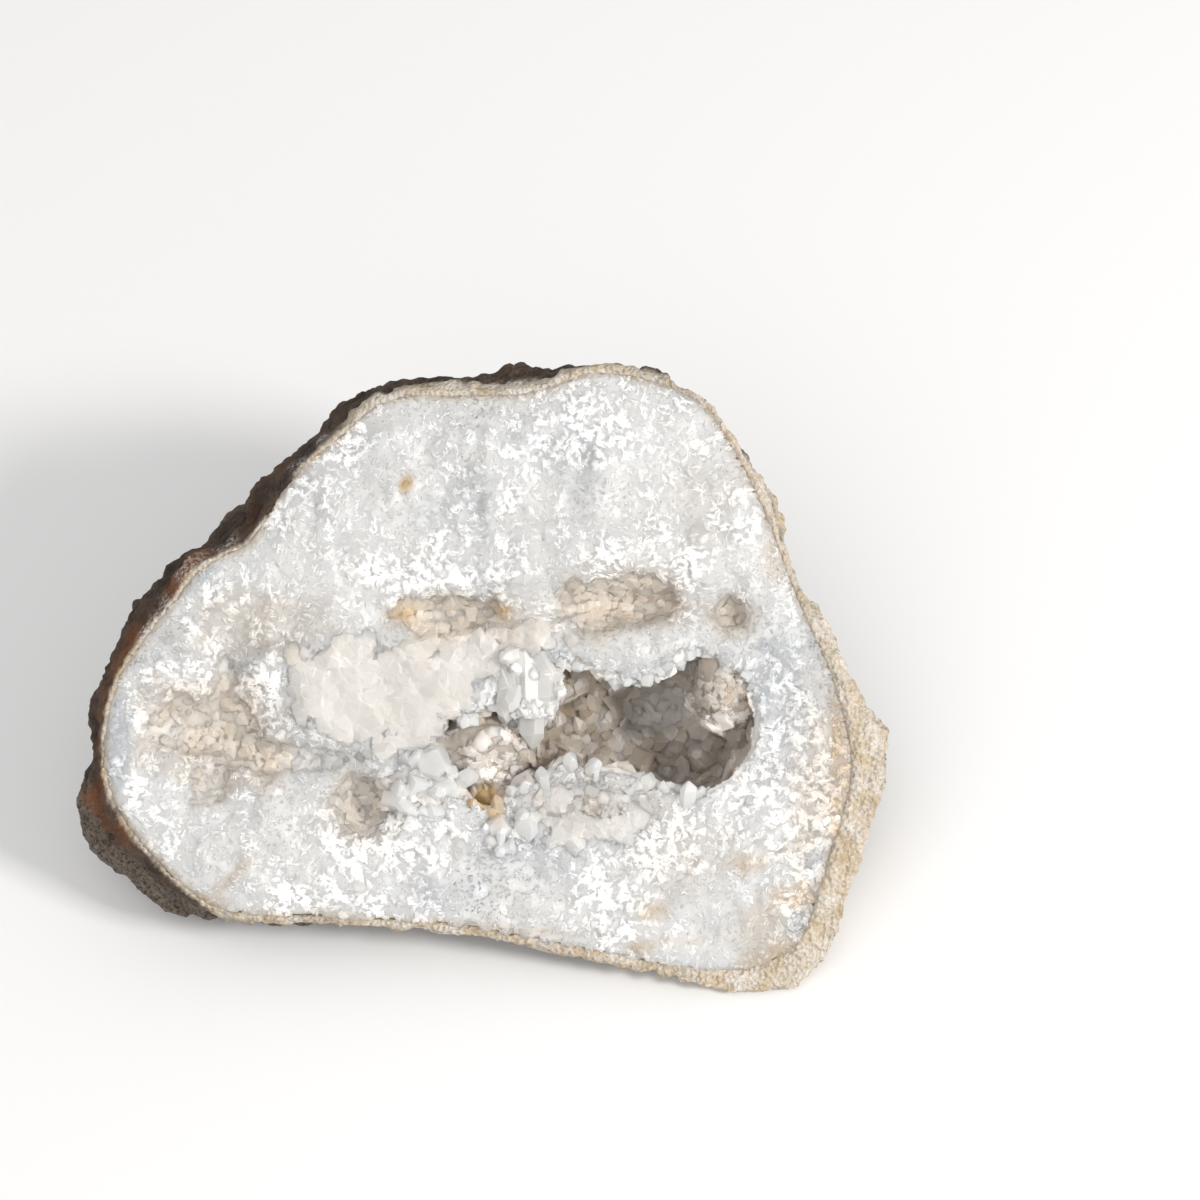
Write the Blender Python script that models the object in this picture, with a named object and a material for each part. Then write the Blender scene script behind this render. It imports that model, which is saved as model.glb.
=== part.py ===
"""Half of a broken quartz geode, resting on a flat spot of its underside with the crystal face tipped up.

Units are metres and +Z is up. The broken face looks towards -Y and upwards. Shapes on the face are given
in face coordinates, in millimetres: u to the right, v up the slope and w out of the face. The empty named
stand carries the three pieces and centres them on the origin.
"""

import math
import random

import bmesh
import bpy
from mathutils import Matrix, Vector, noise
from mathutils.geometry import delaunay_2d_cdt

MM = 0.001

# Pose of the broken face
FACE_SLOPE = math.radians(36.0)
FACE_ROLL = math.radians(3.0)
CORNER_CLEARANCE = 1.6

# Outline of the broken face, clockwise from the left: u, v, width of the rind and bulge of the rock past it
OUTLINE = (
    (-81.7, -14.0, 1.6, 4.2),
    (-78.5, 5.0, 1.6, 2.6),
    (-66.0, 22.4, 1.6, 5.0),
    (-60.0, 29.7, 1.6, 3.8),
    (-49.9, 34.8, 1.6, 5.6),
    (-42.6, 46.4, 1.6, 3.7),
    (-31.0, 57.2, 1.6, 3.0),
    (-18.9, 66.0, 1.8, 1.8),
    (8.6, 67.1, 2.0, 2.4),
    (25.8, 72.0, 2.0, 0.8),
    (45.2, 66.9, 1.8, 0.5),
    (53.5, 58.0, 1.6, 0.5),
    (61.9, 41.9, 1.6, 0.5),
    (69.9, 21.9, 2.0, 0.5),
    (79.8, 5.4, 4.5, 0.5),
    (87.3, -15.0, 8.0, 0.4),
    (81.3, -35.5, 7.0, 0.3),
    (75.5, -54.0, 7.0, 0.3),
    (67.5, -62.0, 7.0, 0.2),
    (52.0, -62.8, 3.6, 0.2),
    (23.7, -55.9, 1.6, 0.2),
    (-8.6, -50.0, 1.6, 0.2),
    (-46.2, -47.7, 1.6, 0.6),
    (-59.0, -45.0, 1.8, 3.0),
    (-75.7, -29.0, 2.0, 10.5),
)
RIM_SAMPLES = 72
OUTLINE_DETAIL = 360
SPLINE_STEPS = 40

# Rock body behind the face
POLE = (4.0, 12.0)
MIDDLE_SHARE = 0.4
BODY_DEPTH = 49.5
SIDE_FULLNESS = 0.75
BACK_FULLNESS = 0.9
BULGE_ANGLE = math.radians(18.0)
BULGE_LOSS = 2.4
BULGE_FULL = 2.0
RIND_WALL = 4.2
RIM_LIFT_SHARE = 0.55
GAP = 0.3
CRUMB_HEIGHT = 0.6
CRUMB_SIZE = 5.0

# Underside: a flat spot, and a shallow rise from it to the front rim
FLAT_CENTRE = (1.0, 14.0)
FLAT_RADII = (27.0, 19.0)
RISE_LIMIT = 14.0
RISE_SHARE = 0.8
RISE_ANGLE = math.radians(55.0)
RISE_SINK = 1.0
RISE_BLEND = 2.5
OFF_GROUND = 1.2
OFF_GROUND_SLOPE = 4.0

# Lumps and pits of the rock
ROCK_SPACING = 0.073
WALL_SPACING = 0.115
DISC_JITTER = 0.22
DISC_CLEAR = 0.62
LUMP_SIZE = 15.0
LUMP_HEIGHT = 3.4
LUMP_LEVEL = 0.25
LUMP_FLOOR = -0.1
SMALL_LUMP_SHARE = 0.5
SMALL_LUMP_SIZE = LUMP_SIZE / 2.3
PIT_SIZE = 7.0
PIT_DEPTH = 1.6
PIT_START = 0.18
PIT_SHARPNESS = 3.0
PIT_SHIFT = (7.3, 1.9, 4.1)
SHARP_ANGLE = math.radians(35.0)

# Relief of the broken quartz: grain layers hold share, size and shift; swells hold u, v, reaches and height
FACE_SPACING = 4.5
FACE_FADE = 9.0
FACE_JITTER = 1.1
FACE_CLEAR = 0.6
FACE_REACH = 25
GRAIN_HEIGHT = 0.8
GRAIN_LAYERS = ((1.0, 6.0, 3.0), (0.8, 3.1, 9.0))
STUD_HEIGHT = (1.0, 3.2)
STUD_APART = 1.35
SWELLS = (
    ("upper mass", -2.0, 46.0, 44.0, 20.0, 3.2),
    ("white lip over the groove", 31.0, 32.0, 24.0, 6.0, 4.4),
    ("left shoulder", -62.0, 12.0, 14.0, 12.0, 1.6),
    ("lower left shelf", -42.0, -36.0, 26.0, 9.0, 2.0),
    ("lower middle shelf", 14.0, -32.0, 30.0, 8.0, 2.6),
    ("right wall", 66.0, 2.0, 7.0, 24.0, 1.6),
    ("groove under the lip", 31.0, 20.5, 16.0, 5.0, -7.0),
    ("groove at the middle", -6.0, 18.5, 14.0, 4.0, -5.4),
    ("right notch", 54.0, 18.0, 4.5, 4.0, -2.6),
    ("left depression", -57.0, -7.0, 13.0, 13.0, -6.4),
    ("its arm up the slope", -54.0, 8.0, 5.0, 8.0, -3.4),
    ("its arm to the right", -38.0, -14.0, 12.0, 5.0, -4.0),
    ("brown pocket", -25.0, -22.5, 6.0, 6.0, -8.0),
)

# Hollow: the rounded spaces that it is made of, with centre and radii
HOLLOW = (
    ("main space", (38.5, -5.5, -10.0), (26.0, 20.0, 21.0)),
    ("cave up the slope", (29.0, 6.0, -15.0), (19.0, 14.0, 11.5)),
    ("lower left arm", (4.0, -13.5, -7.0), (21.0, 10.5, 11.0)),
    ("left recess", (5.0, -5.0, -5.0), (16.0, 14.0, 10.0)),
)
HOLLOW_DETAIL = 2
CRUST_WALL = 1.5
CRUST_EDGE = 0.6
SPACE_ABOVE = 40.0
DRUSE_HEIGHT = (2.2, 5.0)
DRUSE_LEAN = 0.3

# Large crystals: where each stands, the way it points, its length and its radius
CRYSTALS = (
    ("hanging tip", (11.5, 3.5, -1.5), (0.05, -1.0, 0.12), 17.0, 3.6),
    ("hanging, left", (7.0, 3.5, -1.5), (-0.12, -1.0, 0.3), 12.0, 3.2),
    ("hanging, right", (15.5, 3.0, -2.5), (0.1, -1.0, 0.05), 13.0, 3.4),
    ("hanging, front", (11.0, 4.0, -0.8), (0.0, -0.8, 0.5), 10.0, 3.4),
    ("knob, middle", (1.5, -9.0, -8.0), (0.0, 0.0, 1.0), 14.5, 4.8),
    ("knob, left", (-4.0, -9.5, -7.0), (-0.2, 0.2, 1.0), 12.5, 4.0),
    ("knob, right", (7.0, -11.0, -8.0), (0.2, -0.1, 1.0), 13.0, 4.0),
    ("left cluster, tall", (-9.5, -15.5, -1.5), (0.1, 0.6, 1.0), 13.0, 3.8),
    ("left cluster, broad", (-7.0, -18.0, -1.5), (0.3, 0.3, 1.0), 12.0, 4.2),
    ("left cluster, low", (-11.0, -12.5, -2.0), (-0.2, -0.1, 1.0), 9.5, 3.2),
    ("plate", (-3.0, -19.0, -1.5), (0.2, 0.8, 0.7), 11.0, 3.2),
    ("amber tip", (10.0, -19.0, -2.0), (0.0, 0.9, 0.9), 14.0, 4.2),
    ("white tip, left", (4.0, -20.0, -1.0), (-0.2, 0.5, 1.0), 11.0, 3.4),
    ("white tip, right", (15.0, -19.5, -1.0), (0.15, 0.6, 1.0), 11.0, 3.4),
    ("lip point, first", (21.5, -18.0, -1.0), (-0.1, 0.8, 0.9), 10.5, 3.2),
    ("lip point, second", (27.0, -20.5, -1.0), (-0.2, 0.6, 1.0), 10.0, 3.0),
    ("lip point, third", (33.0, -21.5, -1.0), (0.15, 0.6, 1.0), 10.5, 3.0),
    ("lip point, fourth", (39.0, -22.0, -1.0), (0.0, 0.6, 1.0), 9.5, 2.8),
    ("lip point, fifth", (45.0, -21.5, -1.0), (0.2, 0.6, 1.0), 9.5, 2.8),
    ("lip point, last", (51.0, -19.5, -1.0), (-0.1, 0.6, 1.0), 9.5, 2.8),
    ("roof point, left", (22.0, 6.5, -3.0), (0.0, -1.0, 0.5), 7.0, 2.8),
    ("roof point, middle", (31.0, 9.5, -3.0), (0.1, -1.0, 0.5), 7.5, 3.0),
    ("roof point, right", (42.0, 10.0, -3.0), (-0.1, -1.0, 0.5), 7.0, 2.8),
    ("right lump", (59.0, 0.0, -3.0), (-1.0, 0.1, 0.8), 7.0, 3.8),
    ("right lump, low", (59.0, -9.0, -3.0), (-1.0, 0.3, 0.8), 6.5, 3.4),
)
CRYSTAL_SIDES = 6
CRYSTAL_TIP = 1.5
SHORTEST_SHAFT = 0.3
WIDE_SIDE = 1.15
NARROW_SIDE = 0.92
ROOT_SHARE = 0.9
TIP_LEAN = 0.3
ROOT_DEPTH = 1.1
ROOT_STEP = 0.2
SOCKET_TIP = 2.5

# Finishes: colour, roughness and how much light passes
BROWN_ROCK = ((0.16, 0.12, 0.085), 0.9, 0.0)
MILKY_QUARTZ = ((0.83, 0.84, 0.86), 0.45, 0.0)
CLEAR_QUARTZ = ((0.86, 0.85, 0.83), 0.15, 0.4)

SEED = 6054


def clear_scene():
    """Remove every object, so that the script can run again in the same file."""
    for old in list(bpy.data.objects):
        bpy.data.objects.remove(old)


def smooth_step(x):
    """Ease from 0 to 1 as x goes from 0 to 1."""
    x = min(max(x, 0.0), 1.0)
    return x * x * (3.0 - 2.0 * x)


def smooth_max(a, b, reach):
    """The larger of a and b, rounded where they are closer than reach."""
    near = max(reach - abs(a - b), 0.0) / reach
    return max(a, b) + near * near * reach / 4.0


def turned(u, v, w):
    """Turn face coordinates to the model's axes, still in millimetres."""
    turn = Matrix.Rotation(FACE_ROLL, 3, "Y") @ Matrix.Rotation(FACE_SLOPE, 3, "X")
    return turn @ Vector((u, v, w))


FACE_RISE = CORNER_CLEARANCE - min(turned(u, v, 0.0).z for u, v, _, _ in OUTLINE)


def face_point(u, v, w):
    """Place a point of the face in the model, in millimetres above the ground."""
    return turned(u, v, w) + Vector((0.0, 0.0, FACE_RISE))


def spline_point(points, place):
    """Read a closed smooth curve through the points, where place counts the points passed."""
    first = math.floor(place)
    t = place - first
    p0, p1, p2, p3 = (Vector(points[(first + step) % len(points)]) for step in (-1, 0, 1, 2))
    bend = 2.0 * p0 - 5.0 * p1 + 4.0 * p2 - p3
    return 0.5 * (2.0 * p1 + (p2 - p0) * t + bend * t * t + (3.0 * p1 - p0 - 3.0 * p2 + p3) * t ** 3)


def even_outline(count):
    """Sample the outline at even steps: each sample holds u, v, rind width and bulge."""
    fine = [spline_point(OUTLINE, place / SPLINE_STEPS) for place in range(len(OUTLINE) * SPLINE_STEPS)]
    lengths = [0.0]
    for a, b in zip(fine, fine[1:] + fine[:1]):
        lengths.append(lengths[-1] + (b.xy - a.xy).length)
    samples = []
    index = 0
    for step in range(count):
        target = lengths[-1] * step / count
        while lengths[index + 1] < target:
            index += 1
        samples.append(fine[index % len(fine)])
    return samples


def outward(samples, index):
    """Direction on the face that points away from the stone at one outline sample."""
    ahead = samples[(index + 1) % len(samples)].xy - samples[index - 1].xy
    return Vector((-ahead.y, ahead.x)).normalized()


RIM = even_outline(OUTLINE_DETAIL)
RIM_OUTWARD = [outward(RIM, index) for index in range(OUTLINE_DETAIL)]


def bowl_point(share, turn, wall):
    """One point of the surface behind the face.

    share counts round the outline from 0 to 1, and turn is 0 at the rim and a right angle at the deepest
    point. wall is 0 for the outside of the rock, or the thickness of the rind for the surface inside it.
    """
    index = round(share * OUTLINE_DETAIL) % OUTLINE_DETAIL
    u, v, edge, bulge = RIM[index]
    away = RIM_OUTWARD[index]
    inner = 1.0 if wall else 0.0
    settled = smooth_step(turn / BULGE_ANGLE)
    inset = inner * (edge + (wall - edge) * settled)
    rock = bulge + BULGE_LOSS * min(bulge / BULGE_FULL, 1.0)
    swell = rock * math.sin(min(turn / BULGE_ANGLE, 2.0) * math.pi / 2.0)
    base = Vector((u, v)) - away * inset
    pole = Vector(POLE)
    spread = max(math.cos(turn), 0.0) ** SIDE_FULLNESS
    place = pole + (base - pole) * spread + away * swell
    point = face_point(place.x, place.y, -(BODY_DEPTH - wall) * math.sin(turn) ** BACK_FULLNESS)
    if turn == 0.0:
        return point
    rim_height = min(face_point(u, v, 0.0).z, RISE_LIMIT)
    floor = rim_height * RISE_SHARE * (1.0 - smooth_step(turn / RISE_ANGLE))
    floor -= RISE_SINK * smooth_step(turn / RISE_ANGLE)
    lift = RIM_LIFT_SHARE * edge
    floor += inner * (lift + (wall - lift) * settled)
    point.z = smooth_max(point.z, floor, RISE_BLEND)
    return point


def disc_points(spacing, rng):
    """Points of a unit disc: the rim samples first, then a jittered triangular grid inside them."""
    turns = [2.0 * math.pi * index / RIM_SAMPLES for index in range(RIM_SAMPLES)]
    rim = [(math.cos(turn), math.sin(turn)) for turn in turns]
    grid = []
    rows = math.ceil(1.0 / (spacing * math.sqrt(0.75)))
    for row in range(-rows, rows + 1):
        for column in range(-rows - 1, rows + 2):
            x = (column + 0.5 * (row % 2)) * spacing + rng.uniform(-DISC_JITTER, DISC_JITTER) * spacing
            y = row * spacing * math.sqrt(0.75) + rng.uniform(-DISC_JITTER, DISC_JITTER) * spacing
            if math.hypot(x, y) < 1.0 - DISC_CLEAR * spacing:
                grid.append((x, y))
    return rim + grid


def triangles_inside(points, rim_count):
    """Triangles of a flat region whose first rim_count points go round its edge."""
    edges = [(i, (i + 1) % rim_count) for i in range(rim_count)]
    flat = [Vector(point) for point in points]
    _, _, faces, _, _, _ = delaunay_2d_cdt(flat, edges, [], 1, 1e-6)
    return [tuple(face) for face in faces]


def bowl_surface(spacing, wall, rng):
    """Points and triangles of the surface behind the face, with its rim samples first."""
    disc = disc_points(spacing, rng)
    points = []
    for x, y in disc:
        share = (math.atan2(y, x) / (2.0 * math.pi)) % 1.0
        turn = (1.0 - min(math.hypot(x, y), 1.0)) * math.pi / 2.0
        points.append(bowl_point(share, 0.0 if turn < 1e-5 else turn, wall))
    return points, triangles_inside(disc, RIM_SAMPLES)


def vertex_normals(points, faces):
    """Average direction of the triangles round each point."""
    normals = [Vector((0.0, 0.0, 0.0)) for _ in points]
    for a, b, c in faces:
        normal = (points[b] - points[a]).cross(points[c] - points[a])
        for index in (a, b, c):
            normals[index] += normal
    return [normal.normalized() for normal in normals]


def outside_normals(points, faces):
    """Normals of a bowl surface, turned to point out of the stone."""
    normals = vertex_normals(points, faces)
    middle = face_point(POLE[0], POLE[1], -MIDDLE_SHARE * BODY_DEPTH)
    votes = sum((point - middle).dot(normal) for point, normal in zip(points, normals))
    return normals if votes > 0.0 else [-normal for normal in normals]


def rock_relief(point):
    """Height of the lumps and pits of the rock at a point, in millimetres."""
    lumps = noise.noise(point / LUMP_SIZE) + SMALL_LUMP_SHARE * noise.noise(point / SMALL_LUMP_SIZE)
    pits = max(noise.noise(point / PIT_SIZE + Vector(PIT_SHIFT)) - PIT_START, 0.0)
    return LUMP_HEIGHT * max(lumps + LUMP_LEVEL, LUMP_FLOOR) - PIT_DEPTH * min(pits * PIT_SHARPNESS, 1.0)


def ground_limit(point):
    """Lowest height that the outside may have: zero on the flat spot and a little more round it."""
    x = (point.x - FLAT_CENTRE[0]) / FLAT_RADII[0]
    y = (point.y - FLAT_CENTRE[1]) / FLAT_RADII[1]
    return min(max(math.hypot(x, y) - 1.0, 0.0) * OFF_GROUND_SLOPE, OFF_GROUND)


def rough_outside(points, faces):
    """Give the outside its lumps and pits, and flatten the spot that it rests on."""
    normals = outside_normals(points, faces)
    rough = list(points[:RIM_SAMPLES])
    for point, normal in zip(points[RIM_SAMPLES:], normals[RIM_SAMPLES:]):
        moved = point + normal * rock_relief(point)
        moved.z = max(moved.z, ground_limit(moved))
        rough.append(moved)
    return rough


def new_mesh(name, points, faces):
    """Make a mesh from millimetre points, with its faces pointing out."""
    mesh = bpy.data.meshes.new(name)
    mesh.from_pydata([point * MM for point in points], [], faces)
    shape = bmesh.new()
    shape.from_mesh(mesh)
    bmesh.ops.recalc_face_normals(shape, faces=shape.faces)
    if shape.calc_volume(signed=True) < 0.0:
        bmesh.ops.reverse_faces(shape, faces=shape.faces)
    shape.to_mesh(mesh)
    shape.free()
    return mesh


def new_object(name, mesh, material, stand):
    """Put a mesh in the scene under the stand, with one material."""
    obj = bpy.data.objects.new(name, mesh)
    mesh.materials.append(material)
    obj.parent = stand
    bpy.context.scene.collection.objects.link(obj)
    return obj


def stone_finish(name, colour, roughness, transmission):
    """A plain finish: base colour, roughness and how much light passes."""
    material = bpy.data.materials.new(name)
    material.use_nodes = True
    shader = material.node_tree.nodes["Principled BSDF"]
    shader.inputs["Base Color"].default_value = (*colour, 1.0)
    shader.inputs["Roughness"].default_value = roughness
    shader.inputs["Metallic"].default_value = 0.0
    shader.inputs["Transmission Weight"].default_value = transmission
    return material


def strip(first, second, count):
    """Triangles between two closed loops of the same count, given the index where each starts."""
    faces = []
    for i in range(count):
        j = (i + 1) % count
        faces.append((first + i, first + j, second + j))
        faces.append((first + i, second + j, second + i))
    return faces


def face_edge(index, share):
    """Point on the broken edge of the rind, from the outline at 0 to the quartz at 1."""
    place = index * OUTLINE_DETAIL // RIM_SAMPLES
    u, v, edge, _ = RIM[place]
    point = Vector((u, v)) - RIM_OUTWARD[place] * share * (edge - GAP)
    crumb = 0.0
    if 0.0 < share < 1.0:
        crumb = CRUMB_HEIGHT * min(edge / CRUMB_SIZE, 1.0) * noise.noise(Vector((u, v, 0.0)) / CRUMB_SIZE)
    return face_point(point.x, point.y, crumb)


def rock_rind(material, stand):
    """The outer rock: a rough bowl whose rim is broken flush with the face."""
    rng = random.Random(SEED)
    outer, outer_faces = bowl_surface(ROCK_SPACING, 0.0, rng)
    outer = rough_outside(outer, outer_faces)
    inner, inner_faces = bowl_surface(WALL_SPACING, RIND_WALL, random.Random(SEED + 1))
    lift = outside_normals(inner, inner_faces)
    inner = [point + normal * GAP for point, normal in zip(inner, lift)]
    for index in range(RIM_SAMPLES):
        inner[index] = face_edge(index, 1.0)
    middle = [face_edge(index, 0.5) for index in range(RIM_SAMPLES)]
    points = outer + inner + middle
    inner_start = len(outer)
    middle_start = inner_start + len(inner)
    faces = outer_faces + [tuple(inner_start + i for i in face) for face in inner_faces]
    faces += strip(0, middle_start, RIM_SAMPLES) + strip(middle_start, inner_start, RIM_SAMPLES)
    rind = new_object("rock_rind", new_mesh("rock_rind", points, faces), material, stand)
    rind.data.shade_smooth()
    rind.data.set_sharp_from_angle(angle=SHARP_ANGLE)
    return rind


def quartz_rim():
    """Edge of the quartz on the face: u and v of each rim sample."""
    rim = []
    for index in range(RIM_SAMPLES):
        place = index * OUTLINE_DETAIL // RIM_SAMPLES
        u, v, edge, _ = RIM[place]
        rim.append(Vector((u, v)) - RIM_OUTWARD[place] * edge)
    return rim


def relief(u, v, rim, stud=0.0):
    """Height of the broken quartz over the plane of the face, with the stud of one point added."""
    place = Vector((u, v))
    fade = smooth_step(min((place - point).length for point in rim) / FACE_FADE)
    height = 0.0
    for _, swell_u, swell_v, reach_u, reach_v, rise in SWELLS:
        height += rise * math.exp(-((u - swell_u) / reach_u) ** 2 - ((v - swell_v) / reach_v) ** 2)
    for share, size, shift in GRAIN_LAYERS:
        height += GRAIN_HEIGHT * share * noise.noise(Vector((u, v, shift)) / size)
    return fade * (height + stud)


def inside_outline(place, rim):
    """Whether a point of the face lies inside its edge."""
    inside = False
    for a, b in zip(rim, rim[1:] + rim[:1]):
        if (a.y > place.y) != (b.y > place.y):
            if place.x < a.x + (b.x - a.x) * (place.y - a.y) / (b.y - a.y):
                inside = not inside
    return inside


def face_grid(rim):
    """Points and triangles of the broken face: u, v and height, with the rim samples first.

    Points stand up wherever no neighbour does, so that each makes a pointed crystal among low points.
    """
    rng = random.Random(SEED + 2)
    row_step = FACE_SPACING * math.sqrt(0.75)
    places = []
    for row in range(-FACE_REACH, FACE_REACH + 1):
        for column in range(-FACE_REACH, FACE_REACH + 1):
            u = (column + 0.5 * (row % 2)) * FACE_SPACING + rng.uniform(-FACE_JITTER, FACE_JITTER)
            v = row * row_step + rng.uniform(-FACE_JITTER, FACE_JITTER)
            place = Vector((u, v))
            clear = min((place - point).length for point in rim) > FACE_CLEAR * FACE_SPACING
            if clear and inside_outline(place, rim):
                places.append(place)
    rng.shuffle(places)
    raised = []
    points = [Vector((place.x, place.y, 0.0)) for place in rim]
    for place in places:
        stud = 0.0
        if all((place - other).length > STUD_APART * FACE_SPACING for other in raised):
            raised.append(place)
            stud = rng.uniform(*STUD_HEIGHT)
        points.append(Vector((place.x, place.y, relief(place.x, place.y, rim, stud))))
    return points, triangles_inside([point.xy for point in points], len(rim))


def quartz_body(face, face_faces):
    """Mesh of the quartz before the hollow is cut: the rough face over the bowl that fits the rind."""
    bowl, bowl_faces = bowl_surface(WALL_SPACING, RIND_WALL, random.Random(SEED + 1))
    top = [face_point(*point) for point in face]
    points = top + bowl[RIM_SAMPLES:]
    shift = len(top) - RIM_SAMPLES
    faces = list(face_faces)
    faces += [tuple(i if i < RIM_SAMPLES else i + shift for i in corners) for corners in bowl_faces]
    return new_mesh("quartz_wall", points, faces)


def above_face(face, face_faces):
    """Mesh of the space over the broken face, a little below the surface, used to open the crust."""
    low = [face_point(point.x, point.y, point.z - CRUST_EDGE) for point in face]
    high = [face_point(point.x, point.y, SPACE_ABOVE) for point in face]
    faces = list(face_faces) + [tuple(len(low) + i for i in reversed(corners)) for corners in face_faces]
    faces += strip(0, len(low), RIM_SAMPLES)
    return new_mesh("space above the face", low + high, faces)


def ball(centre, radii, less, detail):
    """Points and triangles of one rounded space, with its radii made smaller by less."""
    shape = bmesh.new()
    bmesh.ops.create_icosphere(shape, subdivisions=detail, radius=1.0)
    points = []
    for vertex in shape.verts:
        offset = [component * (radius - less) for component, radius in zip(vertex.co, radii)]
        points.append(face_point(*(c + o for c, o in zip(centre, offset))))
    faces = [tuple(vertex.index for vertex in face.verts) for face in shape.faces]
    shape.free()
    return points, faces


def studded_ball(centre, radii, less, detail, rng):
    """A rounded space whose wall is set with six-sided points, each standing in towards the middle."""
    points, faces = ball(centre, radii, less, detail)
    middle = face_point(*centre)
    round_vertex = [[] for _ in points]
    for number, face in enumerate(faces):
        for index in face:
            round_vertex[index].append(number)
    corners = [sum((points[i] for i in face), Vector()) / 3.0 for face in faces]
    studded = list(corners)
    studs = []
    for point, around in zip(points, round_vertex):
        inwards = (middle - point).normalized()
        across = inwards.orthogonal()
        along = inwards.cross(across)
        reach = {number: corners[number] - point for number in around}
        around.sort(key=lambda number: math.atan2(reach[number].dot(along), reach[number].dot(across)))
        lean = Vector([rng.uniform(-DRUSE_LEAN, DRUSE_LEAN) for _ in range(3)])
        studded.append(point + (inwards + lean) * rng.uniform(*DRUSE_HEIGHT))
        tip = len(studded) - 1
        studs += [(a, b, tip) for a, b in zip(around, around[1:] + around[:1])]
    return studded, studs


def crystal(root, way, length, radius, rng):
    """Points and faces of one six-sided crystal with a pointed root and a pyramid at its tip."""
    way = way.normalized()
    across = way.orthogonal().normalized()
    along = way.cross(across)
    start = rng.uniform(0.0, math.pi)
    shaft = max(length - CRYSTAL_TIP * radius, SHORTEST_SHAFT)
    points = [root - way * ROOT_DEPTH]
    for height, share in ((0.0, ROOT_SHARE), (shaft, 1.0)):
        for side in range(CRYSTAL_SIDES):
            turn = start + 2.0 * math.pi * side / CRYSTAL_SIDES
            reach = radius * share * (WIDE_SIDE if side % 3 == 0 else NARROW_SIDE)
            points.append(root + way * height + (across * math.cos(turn) + along * math.sin(turn)) * reach)
    points.append(root + way * length + across * rng.uniform(-TIP_LEAN, TIP_LEAN) * radius)
    faces = []
    for side in range(CRYSTAL_SIDES):
        a, b = 1 + side, 1 + (side + 1) % CRYSTAL_SIDES
        c, d = a + CRYSTAL_SIDES, b + CRYSTAL_SIDES
        faces += [(0, b, a), (a, b, d), (a, d, c), (c, d, len(points) - 1)]
    return points, faces


def hidden_tool(mesh, stand, collection):
    """Put a mesh in a collection as an object that only cuts or joins others, kept out of sight."""
    tool = bpy.data.objects.new(mesh.name, mesh)
    tool.parent = stand
    tool.hide_render = True
    tool.display_type = "WIRE"
    collection.objects.link(tool)


def tool_collection(name):
    """A collection for tools, linked to the scene."""
    collection = bpy.data.collections.new(name)
    bpy.context.scene.collection.children.link(collection)
    return collection


def combine(obj, operation, collection):
    """Cut or join an object with everything in a collection."""
    modifier = obj.modifiers.new(collection.name, "BOOLEAN")
    modifier.operation = operation
    modifier.solver = "EXACT"
    modifier.operand_type = "COLLECTION"
    modifier.collection = collection


def keep_main_body(obj):
    """Apply an object's cuts and joins, and drop the loose chips and closed pockets that they leave."""
    evaluated = obj.evaluated_get(bpy.context.evaluated_depsgraph_get())
    shape = bmesh.new()
    shape.from_mesh(evaluated.to_mesh())
    evaluated.to_mesh_clear()
    waiting = set(shape.verts)
    bodies = []
    while waiting:
        body = [waiting.pop()]
        for vertex in body:
            linked = {edge.other_vert(vertex) for edge in vertex.link_edges} & waiting
            waiting -= linked
            body += linked
        bodies.append(body)
    bodies.sort(key=len)
    for body in bodies[:-1]:
        bmesh.ops.delete(shape, geom=body, context="VERTS")
    shape.to_mesh(obj.data)
    shape.free()
    obj.modifiers.clear()


def quartz_wall(material, stand, face, face_faces):
    """The massive quartz with its broken face, cut open by the hollow."""
    wall = new_object("quartz_wall", quartz_body(face, face_faces), material, stand)
    hollow = tool_collection("hollow")
    for name, centre, radii in HOLLOW:
        cut = new_mesh("cut for the " + name, *ball(centre, radii, 0.0, HOLLOW_DETAIL))
        hidden_tool(cut, stand, hollow)
    combine(wall, "DIFFERENCE", hollow)
    combine(wall, "DIFFERENCE", large_crystals("sockets", stand, GAP))
    keep_main_body(wall)


def in_hollow(place):
    """Whether a face point lies in the space that the crust leaves open."""
    for _, centre, radii in HOLLOW:
        parts = [(p - c) / (r - GAP - CRUST_WALL) for p, c, r in zip(place, centre, radii)]
        if math.hypot(*parts) < 1.0:
            return True
    return False


def root_on_wall(place, way):
    """Where a crystal that passes through a place starts: on the crust behind it."""
    spot = Vector(place)
    back = -Vector(way).normalized() * ROOT_STEP
    while in_hollow(spot):
        spot += back
    return spot


def large_crystals(name, stand, clearance):
    """The large crystals as tools, or with a clearance the sockets that keep the quartz clear of them."""
    collection = tool_collection(name)
    rng = random.Random(SEED + 3)
    for label, place, way, length, radius in CRYSTALS:
        axis = turned(*way).normalized()
        root = face_point(*root_on_wall(place, way)) - axis * clearance
        shape = crystal(root, axis, length + SOCKET_TIP * clearance, radius + clearance, rng)
        hidden_tool(new_mesh(name + ", " + label, *shape), stand, collection)
    return collection


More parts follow.
